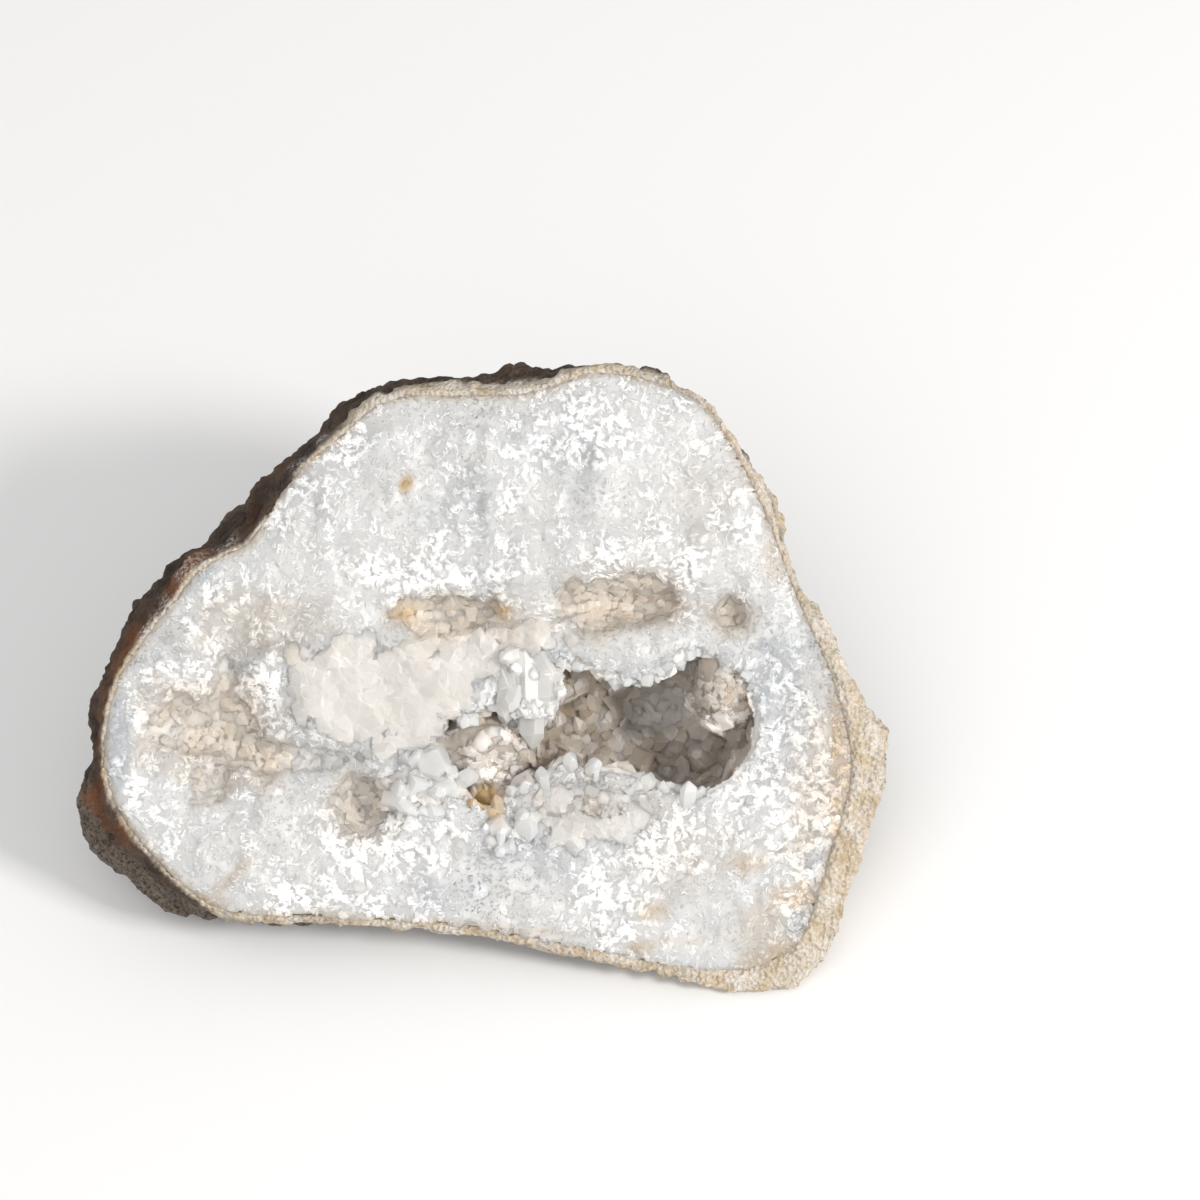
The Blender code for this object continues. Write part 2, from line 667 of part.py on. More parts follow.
def crystal_crust(material, stand, face, face_faces):
    """The crust of crystals that lines the hollow, open at the face."""
    _, centre, radii = HOLLOW[0]
    body = new_mesh("crystal_crust", *ball(centre, radii, GAP, HOLLOW_DETAIL))
    crust = new_object("crystal_crust", body, material, stand)
    outer = tool_collection("outside of the crust")
    for name, centre, radii in HOLLOW[1:]:
        body = new_mesh("crust of the " + name, *ball(centre, radii, GAP, HOLLOW_DETAIL))
        hidden_tool(body, stand, outer)
    combine(crust, "UNION", outer)

    opening = tool_collection("space in the crust")
    for number, (name, centre, radii) in enumerate(HOLLOW):
        rng = random.Random(SEED + 10 + number)
        space = studded_ball(centre, radii, GAP + CRUST_WALL, HOLLOW_DETAIL, rng)
        hidden_tool(new_mesh("space of the " + name, *space), stand, opening)
    hidden_tool(above_face(face, face_faces), stand, opening)
    combine(crust, "DIFFERENCE", opening)

    combine(crust, "UNION", large_crystals("large crystals", stand, 0.0))
    keep_main_body(crust)


def centre_on_origin(stand, rind):
    """Move the stand so that the box of the outer rock is centred over the origin."""
    for axis in (0, 1):
        values = [vertex.co[axis] for vertex in rind.data.vertices]
        stand.location[axis] = -0.5 * (min(values) + max(values))


def main():
    """Build the three pieces."""
    clear_scene()
    stand = bpy.data.objects.new("stand", None)
    bpy.context.scene.collection.objects.link(stand)
    face, face_faces = face_grid(quartz_rim())
    rind = rock_rind(stone_finish("brown rock", *BROWN_ROCK), stand)
    quartz_wall(stone_finish("milky quartz", *MILKY_QUARTZ), stand, face, face_faces)
    crystal_crust(stone_finish("clear quartz", *CLEAR_QUARTZ), stand, face, face_faces)
    centre_on_origin(stand, rind)


main()
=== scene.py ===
"""Looks of one half of a quartz geode: rough rock outside, milky quartz under small crystals, and a hollow.

Lengths are millimetres along the axes of the broken face, until FaceFrame turns them into the frame's metres.
"""

import itertools
import logging
import math
from dataclasses import dataclass
from enum import Enum

import bmesh
import bpy
import numpy as np
from mathutils import Matrix, Vector
from mathutils.bvhtree import BVHTree


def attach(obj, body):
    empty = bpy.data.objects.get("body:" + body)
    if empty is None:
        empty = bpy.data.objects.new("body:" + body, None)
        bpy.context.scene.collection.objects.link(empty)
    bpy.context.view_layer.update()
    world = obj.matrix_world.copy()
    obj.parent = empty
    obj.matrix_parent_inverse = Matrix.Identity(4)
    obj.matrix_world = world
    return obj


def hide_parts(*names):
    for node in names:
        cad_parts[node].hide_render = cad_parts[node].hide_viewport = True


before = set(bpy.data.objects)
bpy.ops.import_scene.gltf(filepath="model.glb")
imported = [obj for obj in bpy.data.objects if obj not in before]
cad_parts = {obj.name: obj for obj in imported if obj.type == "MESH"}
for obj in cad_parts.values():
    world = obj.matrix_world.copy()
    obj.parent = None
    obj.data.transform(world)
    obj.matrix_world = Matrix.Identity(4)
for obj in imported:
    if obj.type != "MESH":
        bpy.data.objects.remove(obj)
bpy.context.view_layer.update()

LOG = logging.getLogger("geode")
MM = 0.001
BODY = "root"
SEED = 6054
FAR = 1e9
MOST_PER_SQUARE_METRE = 8.0e6
AMBER_PLACE = (1.2, -22.2)
AMBER_REACH = (4.8, 3.8)
SHAPES_PER_FAMILY = 6
MERGE = 1e-6


class Slot(Enum):
    """The record's material slots."""

    ROCK = "rock"
    MILKY = "milky_quartz"
    CLEAR = "clear_quartz"


class ZoneEffect(Enum):
    """What a zone of the broken face does to the quartz, a tint, rust, painted shade or a change of relief:
    its attribute on the mesh.
    """

    WARM = "warm"
    COOL = "cool"
    RUST = "rust"
    SMOOTH = "smooth"
    BARE = "bare"


@dataclass(frozen=True)
class Zone:
    """An oval part of the broken face with ragged edges."""

    name: str
    effect: ZoneEffect
    u: float
    v: float
    reach_u: float
    reach_v: float
    strength: float = 1.0
    turn: float = 0.0


@dataclass(frozen=True)
class Swell:
    """A broad rise or dip of the broken face."""

    name: str
    u: float
    v: float
    reach_u: float
    reach_v: float
    rise: float


@dataclass(frozen=True)
class Oval:
    """A rounded space or body in face coordinates."""

    name: str
    centre: tuple[float, float, float]
    radii: tuple[float, float, float]


@dataclass(frozen=True)
class Lump(Oval):
    """A rounded body of quartz, how much painted shade darkens it, partly its own darker colour, and how
    thickly small crystals stand on it.
    """

    shade: float = 0.0
    coat: float = 1.0


@dataclass(frozen=True)
class Spar:
    """A large crystal: where it stands, the way it points, its length, its radius and how much painted shade
    darkens it, partly its own beige colour.
    """

    name: str
    place: tuple[float, float, float]
    way: tuple[float, float, float]
    length: float
    radius: float
    shade: float = 0.0


def smooth_step(x: np.ndarray) -> np.ndarray:
    """Ease from 0 to 1 as x goes from 0 to 1."""
    x = np.clip(x, 0.0, 1.0)
    return x * x * (3.0 - 2.0 * x)


def linear(code: str) -> tuple[float, float, float, float]:
    """Turn a hex colour into the linear colour that a shader takes.

    Args:
        code: six hex digits, red first.

    Returns:
        Red, green, blue and an alpha of 1.
    """
    shares = [int(code[i:i + 2], 16) / 255.0 for i in (0, 2, 4)]
    return (*(s / 12.92 if s <= 0.04045 else ((s + 0.055) / 1.055) ** 2.4 for s in shares), 1.0)


def cell_random(cells: np.ndarray, seed: int) -> np.ndarray:
    """A repeatable random number from 0 to 1 for each whole-number cell.

    Args:
        cells: whole numbers whose last axis holds a cell's coordinates.
        seed: which set of numbers to draw from.

    Returns:
        One number for each cell.
    """
    mixed = np.full(cells.shape[:-1], seed * 7919 + 13, np.uint32)
    for axis in range(cells.shape[-1]):
        mixed = (mixed ^ cells[..., axis].astype(np.uint32)) * np.uint32(2654435761)
        mixed ^= mixed >> np.uint32(15)
    mixed = mixed * np.uint32(2246822519)
    mixed ^= mixed >> np.uint32(13)
    return mixed.astype(np.float64) / 4294967296.0


def smooth_noise(points: np.ndarray, size: float, seed: int) -> np.ndarray:
    """Smooth noise from -1 to 1.

    Args:
        points: places, with their coordinates along the last axis.
        size: how far apart its rises are.
        seed: which noise to draw.

    Returns:
        One value for each place.
    """
    place = points / size
    low = np.floor(place).astype(np.int64)
    ease = smooth_step(place - low)
    total = np.zeros(points.shape[:-1])
    for corner in itertools.product((0, 1), repeat=points.shape[-1]):
        weight = np.ones(points.shape[:-1])
        for axis, side in enumerate(corner):
            weight = weight * (ease[..., axis] if side else 1.0 - ease[..., axis])
        total += weight * cell_random(low + np.array(corner), seed)
    return total * 2.0 - 1.0


def layered_noise(points: np.ndarray, size: float, seed: int, layers: int = 3) -> np.ndarray:
    """Noise with finer layers added, each half as large and half as strong as the one before."""
    return sum(smooth_noise(points, size / 2 ** n, seed + n) / 2 ** n for n in range(layers))


def nearest_seed(points: np.ndarray, size: float, seed: int) -> tuple[np.ndarray, np.ndarray]:
    """Find the nearest of scattered seeds.

    Args:
        points: places, with their coordinates along the last axis.
        size: how far apart the seeds are.
        seed: which seeds to scatter.

    Returns:
        Distance to the nearest seed as a share of size, and that seed's own random number.
    """
    place = points / size
    low = np.floor(place).astype(np.int64)
    nearest = np.full(points.shape[:-1], FAR)
    own = np.zeros(points.shape[:-1])
    for step in itertools.product((-1, 0, 1), repeat=points.shape[-1]):
        cell = low + np.array(step)
        square = np.zeros(points.shape[:-1])
        for axis in range(points.shape[-1]):
            square += (cell[..., axis] + cell_random(cell, seed + 11 * axis) - place[..., axis]) ** 2
        distance = np.sqrt(square)
        closer = distance < nearest
        own = np.where(closer, cell_random(cell, seed + 97), own)
        nearest = np.where(closer, distance, nearest)
    return nearest, own


def broken_cells(places: np.ndarray, size: float, slope: float, seed: int) -> np.ndarray:
    """Flat faces side by side, each tilted its own way, like crystals broken across.

    Args:
        places: u and v along the last axis.
        size: how wide the faces are.
        slope: how steep the steepest of them are.
        seed: which faces to draw.

    Returns:
        Height at each place in millimetres.
    """
    place = places / size
    low = np.floor(place).astype(np.int64)
    nearest = np.full(places.shape[:-1], FAR)
    height = np.zeros(places.shape[:-1])
    for step in itertools.product((-1, 0, 1), repeat=2):
        cell = low + np.array(step)
        du = place[..., 0] - cell[..., 0] - cell_random(cell, seed)
        dv = place[..., 1] - cell[..., 1] - cell_random(cell, seed + 1)
        distance = np.hypot(du, dv)
        tilt = 2.0 * math.pi * cell_random(cell, seed + 2)
        steep = slope * (0.4 + 0.6 * cell_random(cell, seed + 3))
        rise = steep * (du * np.cos(tilt) + dv * np.sin(tilt))
        rise = rise + 0.4 * slope * (cell_random(cell, seed + 4) - 0.5)
        height = np.where(distance < nearest, rise, height)
        nearest = np.minimum(nearest, distance)
    return height * size


def polygon_distance(places: np.ndarray, corners: np.ndarray) -> np.ndarray:
    """Distance to the edge of a flat outline, negative inside it.

    Args:
        places: u and v along the last axis.
        corners: the outline's corners in order, as rows of u and v.

    Returns:
        One distance for each place.
    """
    nearest = np.full(places.shape[:-1], FAR)
    inside = np.zeros(places.shape[:-1], bool)
    for a, b in zip(corners, np.roll(corners, -1, axis=0)):
        edge = b - a
        offset = places - a
        along = np.clip((offset @ edge) / max(edge @ edge, 1e-12), 0.0, 1.0)
        distance = np.hypot(offset[..., 0] - along * edge[0], offset[..., 1] - along * edge[1])
        nearest = np.minimum(nearest, distance)
        if a[1] != b[1]:
            between = (a[1] > places[..., 1]) != (b[1] > places[..., 1])
            inside ^= between & (places[..., 0] < a[0] + edge[0] * offset[..., 1] / edge[1])
    return np.where(inside, -nearest, nearest)


def amber_patch(points: np.ndarray) -> np.ndarray:
    """How strongly the iron-stained floor of the lower left arm shows at each point."""
    share = np.hypot(*((points[:, :2] - AMBER_PLACE) / AMBER_REACH).T)
    return smooth_step((1.3 - share) / 0.6)


def oval_field(points: tuple[np.ndarray, ...], ovals: tuple[Oval, ...]) -> np.ndarray:
    """Rough distance to the surface of several rounded bodies taken together.

    Args:
        points: u, v and w, as arrays that fit together.
        ovals: the bodies.

    Returns:
        Millimetres at each point, negative inside the bodies.
    """
    nearest = None
    for oval in ovals:
        share = np.sqrt(sum(((p - c) / r) ** 2 for p, c, r in zip(points, oval.centre, oval.radii)))
        distance = (share - 1.0) * min(oval.radii)
        nearest = distance if nearest is None else np.minimum(nearest, distance)
    return nearest


def surface_net(values: np.ndarray, corner: np.ndarray, step: float) -> tuple[np.ndarray, np.ndarray]:
    """Mesh the closed surface where a field on a regular grid is zero.

    Args:
        values: the field at the grid's nodes, negative inside the solid.
        corner: place of the grid's first node.
        step: distance between neighbouring nodes.

    Returns:
        Points, and quads that turn their fronts outwards.
    """
    inside = values < 0.0
    shape = np.array(values.shape)
    filled = np.zeros(shape - 1, np.int8)
    offsets = [np.array(offset) for offset in itertools.product((0, 1), repeat=3)]
    for a, b, c in offsets:
        filled += inside[a:shape[0] - 1 + a, b:shape[1] - 1 + b, c:shape[2] - 1 + c]
    cells = np.argwhere((filled > 0) & (filled < 8))
    number = np.full(filled.shape, -1, np.int64)
    number[tuple(cells.T)] = np.arange(len(cells))
    total = np.zeros((len(cells), 3))
    count = np.zeros(len(cells))
    for start, axis in itertools.product(offsets, range(3)):
        if start[axis]:
            continue
        end = start.copy()
        end[axis] = 1
        low = values[tuple((cells + start).T)]
        high = values[tuple((cells + end).T)]
        crossed = (low < 0.0) != (high < 0.0)
        place = np.repeat(start[None, :].astype(float), crossed.sum(), axis=0)
        place[:, axis] = low[crossed] / (low[crossed] - high[crossed])
        total[crossed] += place
        count[crossed] += 1.0
    points = corner + (cells + total / count[:, None]) * step
    quads = []
    for axis in range(3):
        lower = np.take(inside, range(shape[axis] - 1), axis=axis)
        upper = np.take(inside, range(1, shape[axis]), axis=axis)
        edges = np.argwhere(lower != upper)
        b, c = (axis + 1) % 3, (axis + 2) % 3
        ring = []
        for step_b, step_c in ((-1, -1), (0, -1), (0, 0), (-1, 0)):
            cell = edges.copy()
            cell[:, b] += step_b
            cell[:, c] += step_c
            ring.append(number[tuple(cell.T)])
        ring = np.stack(ring, axis=1)
        inwards = ~lower[tuple(edges.T)]
        ring[inwards] = ring[inwards][:, ::-1]
        quads.append(ring)
    return points, np.concatenate(quads)


def largest_part(points: np.ndarray, faces: np.ndarray) -> tuple[np.ndarray, np.ndarray]:
    """Keep the largest connected part of a mesh and drop loose crumbs.

    Args:
        points: places, as rows.
        faces: rows of point numbers.

    Returns:
        Points and faces of that part.
    """
    part = np.arange(len(points))
    before = None
    while before is None or (part != before).any():
        before = part.copy()
        lowest = part[faces].min(axis=1)
        for side in range(faces.shape[1]):
            np.minimum.at(part, faces[:, side], lowest)
            np.minimum.at(part, before[faces[:, side]], lowest)
        part = part[part]
    kept = faces[part[faces[:, 0]] == np.bincount(part).argmax()]
    used, numbers = np.unique(kept, return_inverse=True)
    return points[used], numbers.reshape(kept.shape)


def new_mesh(name: str, points: np.ndarray, faces: np.ndarray) -> bpy.types.Mesh:
    """Make a mesh from arrays.

    Args:
        name: the mesh's name.
        points: places in metres.
        faces: rows of three or four point numbers.

    Returns:
        The new mesh.
    """
    mesh = bpy.data.meshes.new(name)
    sides = faces.shape[1]
    mesh.vertices.add(len(points))
    mesh.vertices.foreach_set("co", points.astype(np.float32).ravel())
    mesh.loops.add(faces.size)
    mesh.loops.foreach_set("vertex_index", faces.astype(np.int32).ravel())
    mesh.polygons.add(len(faces))
    mesh.polygons.foreach_set("loop_start", np.arange(0, faces.size, sides, dtype=np.int32))
    mesh.update(calc_edges=True)
    mesh.validate()
    return mesh


def new_object(mesh: bpy.types.Mesh) -> bpy.types.Object:
    """Put a mesh in the scene.

    Args:
        mesh: the mesh, whose name the object takes.

    Returns:
        The new object, at the origin.
    """
    obj = bpy.data.objects.new(mesh.name, mesh)
    bpy.context.scene.collection.objects.link(obj)
    return obj


def joined_copy(node: str) -> bmesh.types.BMesh:
    """Copy a CAD node's mesh, whose triangles are loose, and join them.

    Args:
        node: the node's name.

    Returns:
        The joined copy.
    """
    shape = bmesh.new()
    shape.from_mesh(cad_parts[node].data)
    bmesh.ops.remove_doubles(shape, verts=shape.verts, dist=MERGE)
    return shape


def store(mesh: bpy.types.Mesh, values: dict[str, np.ndarray]) -> None:
    """Keep numbers on the points of a mesh.

    Args:
        mesh: the mesh.
        values: one number for each point, under the name of each attribute.
    """
    for name, numbers in values.items():
        attribute = mesh.attributes.new(name, "FLOAT", "POINT")
        attribute.data.foreach_set("value", numbers.astype(np.float32))


def mesh_points(mesh: bpy.types.Mesh) -> np.ndarray:
    """Places of a mesh's points.

    Args:
        mesh: the mesh.

    Returns:
        Rows of x, y and z in metres.
    """
    points = np.zeros(len(mesh.vertices) * 3, np.float32)
    mesh.vertices.foreach_get("co", points)
    return points.reshape(-1, 3).astype(float)


def mesh_normals(mesh: bpy.types.Mesh) -> np.ndarray:
    """Directions that a mesh's points face.

    Args:
        mesh: the mesh.

    Returns:
        Rows of x, y and z.
    """
    normals = np.zeros(len(mesh.vertices) * 3, np.float32)
    mesh.vertex_normals.foreach_get("vector", normals)
    return normals.reshape(-1, 3).astype(float)


def finish_piece(obj: bpy.types.Object, material: bpy.types.Material | None, slot: Slot, *nodes: str) -> None:
    """Dress a finished piece, let it ride on the body, and say what it stands for.

    Args:
        obj: the piece.
        material: its finish, or None where its mesh has one already.
        slot: the record's slot for that finish.
        nodes: the CAD nodes that it replaces.
    """
    if material is not None:
        obj.data.materials.clear()
        obj.data.materials.append(material)
    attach(obj, BODY)
    if nodes:
        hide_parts(*nodes)
    sides = np.zeros(len(obj.data.polygons), np.int32)
    obj.data.polygons.foreach_get("loop_total", sides)
    LOG.info("%s: %d triangles, slot %s", obj.name, int((sides - 2).sum()), slot.value)


@dataclass(frozen=True)
class FaceFrame:
    """Axes of the broken face: u to the right, v up the slope and w out of it, in millimetres."""

    slope: float = math.radians(36.0)
    roll: float = math.radians(3.0)
    origin: tuple[float, float, float] = (1.3735, -9.5552, 41.5254)

    @property
    def axes(self) -> np.ndarray:
        """Matrix whose columns are the directions of u, v and w in the frame."""
        return np.array(Matrix.Rotation(self.roll, 3, "Y") @ Matrix.Rotation(self.slope, 3, "X"))

    def to_frame(self, points: np.ndarray) -> np.ndarray:
        """Turn rows of u, v and w into places in the frame, in metres."""
        return (points @ self.axes.T + np.array(self.origin)) * MM

    def to_face(self, points: np.ndarray) -> np.ndarray:
        """Turn places in the frame, in metres, into rows of u, v and w."""
        return (points / MM - np.array(self.origin)) @ self.axes


FACE = FaceFrame()


@dataclass
class BrokenFace:
    """Shape of the broken face, with its staining and painted shade, which every quartz piece reads."""

    outline: tuple[tuple[float, float, float], ...] = (
        (-81.7, -14.0, 1.6), (-78.5, 5.0, 1.6), (-66.0, 22.4, 1.6), (-60.0, 29.7, 1.6), (-49.9, 34.8, 1.6),
        (-42.6, 46.4, 1.6), (-31.0, 57.2, 1.6), (-18.9, 66.0, 1.8), (8.6, 67.1, 2.0), (25.8, 72.0, 2.0),
        (45.2, 66.9, 1.8), (53.5, 58.0, 1.6), (61.9, 41.9, 1.6), (69.9, 21.9, 2.0), (79.8, 5.4, 4.5),
        (87.3, -15.0, 8.0), (81.3, -35.5, 7.0), (75.5, -54.0, 7.0), (67.5, -62.0, 7.0), (52.0, -62.8, 3.6),
        (23.7, -55.9, 1.6), (-8.6, -50.0, 1.6), (-46.2, -47.7, 1.6), (-59.0, -45.0, 1.8), (-75.7, -29.0, 2.0),
    )
    outline_steps: int = 8
    rim_fade: float = 7.0
    rim_rise: float = 0.45
    rim_dip: float = 1.3
    mouth: tuple[tuple[float, float], ...] = (
        (-10.5, -10.8), (-7.3, -3.2), (-1.5, -4.1), (-0.4, -1.7), (3.4, -1.3), (9.0, 1.0), (16.1, -0.4),
        (15.7, 4.0), (14.8, 7.3), (17.4, 7.7), (20.9, 9.7), (22.1, 7.3), (25.2, 7.1), (31.2, 4.5),
        (33.5, 3.9), (39.1, 5.4), (43.2, 10.8), (51.8, 10.5), (56.5, 8.8), (58.3, 2.6), (63.4, 0.2),
        (60.0, -7.3), (60.0, -13.1), (59.3, -21.7), (54.2, -21.5), (46.7, -21.1), (42.8, -19.4),
        (36.3, -18.3), (28.8, -15.7), (21.9, -14.8), (17.6, -13.5), (14.4, -17.6), (9.7, -18.5),
        (5.0, -22.0), (0.5, -27.0), (-3.5, -25.5), (-6.5, -21.0), (-8.5, -15.5),
    )
    hollow: tuple[Oval, ...] = (
        Oval("main space", (38.5, -5.5, -10.0), (26.0, 20.0, 21.0)),
        Oval("cave up the slope", (29.0, 6.0, -15.0), (19.0, 14.0, 11.5)),
        Oval("lower left arm", (4.0, -13.5, -7.0), (21.0, 10.5, 11.0)),
        Oval("left recess", (5.0, -5.0, -5.0), (16.0, 14.0, 10.0)),
        Oval("behind the hanging block", (24.0, -4.0, -11.0), (13.0, 12.0, 13.0)),
        Oval("upper left corner", (21.0, 4.0, -3.0), (8.5, 9.5, 9.0)),
        Oval("beside the knob", (18.0, -8.0, -4.0), (9.0, 9.0, 9.0)),
        Oval("amber corner", (0.8, -21.0, -3.0), (5.5, 6.0, 5.0)),
    )
    swells: tuple[Swell, ...] = (
        Swell("upper mass", -2.0, 46.0, 44.0, 20.0, 3.2),
        Swell("white lip over the groove", 31.0, 32.0, 24.0, 6.0, 4.4),
        Swell("left shoulder", -62.0, 12.0, 14.0, 12.0, 1.6),
        Swell("lower left shelf", -42.0, -36.0, 26.0, 9.0, 2.0),
        Swell("lower middle shelf", 14.0, -32.0, 30.0, 8.0, 2.6),
        Swell("right wall", 66.0, 2.0, 7.0, 24.0, 1.6),
        Swell("groove under the lip", 31.0, 20.5, 16.0, 5.0, -7.0),
        Swell("groove at the middle", -6.0, 18.5, 14.0, 4.0, -5.4),
        Swell("right notch", 54.0, 18.0, 4.5, 4.0, -2.6),
        Swell("ledge over the hollow", 30.0, 13.0, 22.0, 5.0, 1.6),
        Swell("ridge down the upper mass", 3.0, 56.0, 5.0, 16.0, 1.0),
        Swell("furrow down the upper mass", -10.0, 52.0, 4.0, 14.0, -1.0),
        Swell("second ridge", 26.0, 52.0, 5.0, 14.0, 0.9),
        Swell("second furrow", 17.0, 47.0, 4.0, 13.0, -1.1),
        Swell("left depression", -57.0, -7.0, 13.0, 13.0, -6.4),
        Swell("its arm up the slope", -54.0, 8.0, 5.0, 8.0, -3.4),
        Swell("its arm to the right", -38.0, -14.0, 12.0, 5.0, -4.0),
        Swell("brown pocket", -25.0, -22.5, 6.0, 6.0, -6.5),
    )
    zones: tuple[Zone, ...] = (
        Zone("left depression", ZoneEffect.BARE, -58.0, -6.5, 12.5, 8.0),
        Zone("its arm up", ZoneEffect.BARE, -55.5, 3.5, 3.0, 6.0),
        Zone("its arm right", ZoneEffect.BARE, -43.0, -12.5, 13.0, 3.0),
        Zone("its arm down", ZoneEffect.BARE, -58.5, -17.5, 4.0, 5.5),
        Zone("groove at the middle", ZoneEffect.BARE, -5.0, 18.5, 16.0, 4.2),
        Zone("groove under the lip", ZoneEffect.BARE, 28.0, 21.5, 12.0, 5.0),
        Zone("right notch", ZoneEffect.BARE, 54.0, 19.5, 4.2, 3.6),
        Zone("brown pocket", ZoneEffect.BARE, -25.0, -22.0, 5.5, 5.5),
        Zone("under the hanging block", ZoneEffect.BARE, 10.6, 3.5, 5.4, 5.6),
        Zone("smooth middle", ZoneEffect.SMOOTH, -22.0, 1.0, 19.0, 11.0),
        Zone("smooth ledge", ZoneEffect.SMOOTH, 4.0, 11.5, 12.0, 6.0, 0.7),
        Zone("smooth lower shelf", ZoneEffect.SMOOTH, 22.0, -25.0, 14.0, 6.0, 0.8),
        Zone("smooth lower left", ZoneEffect.SMOOTH, -2.0, -38.0, 18.0, 5.0, 0.3),
        Zone("depression tint", ZoneEffect.WARM, -57.0, -7.0, 16.0, 13.0, 0.9),
        Zone("speckled shoulder", ZoneEffect.WARM, -47.0, 16.0, 13.0, 7.0, 0.6),
        Zone("middle groove tint", ZoneEffect.WARM, -4.0, 18.0, 18.0, 6.0, 0.75),
        Zone("lip groove tint", ZoneEffect.WARM, 30.0, 21.0, 14.0, 7.0, 0.85),
        Zone("notch tint", ZoneEffect.WARM, 54.0, 19.0, 6.0, 5.0, 0.8),
        Zone("smooth middle tint", ZoneEffect.WARM, -20.0, 2.0, 24.0, 13.0, 0.2),
        Zone("pocket tint", ZoneEffect.WARM, -25.0, -22.0, 7.5, 7.0, 0.6),
        Zone("lower lip tint", ZoneEffect.WARM, 25.0, -23.0, 15.0, 7.5, 0.6),
        Zone("lower right tint", ZoneEffect.WARM, 44.0, -33.0, 14.0, 8.0, 0.3),
        Zone("right edge tint", ZoneEffect.WARM, 73.0, -15.0, 7.0, 34.0, 0.7),
        Zone("right corner tint", ZoneEffect.WARM, 66.0, -52.0, 14.0, 8.0, 0.7),
        Zone("top right tint", ZoneEffect.WARM, 49.0, 40.0, 8.0, 12.0, 0.25),
        # The cool zones named shade are painted shade.
        Zone("upper streak", ZoneEffect.COOL, 12.0, 54.0, 9.0, 4.0, 0.3, -0.3),
        Zone("upper streak, long", ZoneEffect.COOL, 21.0, 48.0, 5.0, 11.0, 0.32, 0.25),
        Zone("upper left streak", ZoneEffect.COOL, -4.0, 42.0, 10.0, 6.0, 0.28, 0.5),
        Zone("block shade", ZoneEffect.COOL, 24.0, -26.0, 12.0, 8.5, 0.4),
        Zone("left border", ZoneEffect.COOL, -62.0, 27.0, 7.0, 3.5, 0.9, 0.7),
        Zone("far left border", ZoneEffect.COOL, -78.0, -8.0, 3.0, 10.0, 0.8),
        Zone("right border", ZoneEffect.COOL, 75.0, 12.0, 6.0, 10.0, 0.8, 0.35),
        Zone("right border, low", ZoneEffect.COOL, 74.0, -38.0, 4.0, 6.0, 0.7),
        Zone("right corner border", ZoneEffect.COOL, 71.0, -48.0, 5.0, 4.0, 0.7),
        Zone("lower middle shade", ZoneEffect.COOL, -6.0, -41.0, 9.0, 5.0, 0.45),
        Zone("lower lip shade", ZoneEffect.COOL, 12.0, -34.0, 16.0, 6.0, 0.35),
        Zone("right wall shade", ZoneEffect.COOL, 66.0, 2.0, 8.0, 15.0, 0.55),
        Zone("orange spot", ZoneEffect.RUST, -15.9, 46.6, 1.6, 2.0, 1.2),
        Zone("groove rust, left", ZoneEffect.RUST, -16.5, 18.5, 3.4, 2.4, 0.8),
        Zone("groove rust, right", ZoneEffect.RUST, 5.4, 19.2, 3.6, 2.2, 1.0),
        Zone("lower left streak", ZoneEffect.RUST, -53.5, -38.5, 9.0, 1.6, 0.45, 0.8),
        Zone("lower left edge", ZoneEffect.RUST, -60.0, -44.0, 6.0, 2.0, 0.8),
        Zone("lower edge", ZoneEffect.RUST, -20.0, -48.0, 50.0, 1.5, 0.45, -0.06),
        Zone("right edge", ZoneEffect.RUST, 79.0, -12.0, 3.6, 30.0, 0.6),
        Zone("right corner", ZoneEffect.RUST, 68.0, -57.0, 14.0, 4.0, 0.7),
        Zone("right spots", ZoneEffect.RUST, 57.5, -35.5, 4.0, 2.4, 0.6),
        Zone("right spots, low", ZoneEffect.RUST, 66.0, -41.5, 6.0, 3.0, 0.55),
        Zone("lower spots", ZoneEffect.RUST, 37.5, -45.5, 3.0, 2.0, 0.55),
        Zone("lowest spot", ZoneEffect.RUST, 34.5, -53.0, 3.5, 1.8, 0.6),
        Zone("right notch edge", ZoneEffect.RUST, 63.0, 31.0, 2.5, 5.0, 0.35),
    )
    crisp_edge: float = 0.16
    soft_edge: float = 0.9
    bare_depth: float = 1.9
    bay_size: float = 3.4
    bay_depth: float = 1.1
    fray_size: float = 1.5
    fray_depth: float = 0.5
    lip_thickness: float = 1.5
    deepest_undercut: float = 9.0
    lump_size: float = 10.0
    lump_height: float = 1.1
    plate_size: float = 6.5
    plate_slope: float = 0.21
    chip_size: float = 3.0
    chip_slope: float = 0.25

    def rim(self) -> np.ndarray:
        """Corners of the quartz on the face: the stone's outline less the width of the rind.

        Returns:
            Rows of u and v, in order round the stone.
        """
        points = np.array(self.outline)
        fine = []
        for index in range(len(points)):
            p0, p1, p2, p3 = (points[(index + step) % len(points)] for step in (-1, 0, 1, 2))
            for step in range(self.outline_steps):
                t = step / self.outline_steps
                bend = 2.0 * p0 - 5.0 * p1 + 4.0 * p2 - p3
                curl = 3.0 * p1 - p0 - 3.0 * p2 + p3
                fine.append(0.5 * (2.0 * p1 + (p2 - p0) * t + bend * t * t + curl * t ** 3))
        fine = np.array(fine)
        ahead = np.roll(fine[:, :2], -1, axis=0) - np.roll(fine[:, :2], 1, axis=0)
        away = np.stack((-ahead[:, 1], ahead[:, 0]), axis=1)
        away /= np.linalg.norm(away, axis=1)[:, None]
        return fine[:, :2] - away * fine[:, 2:3]

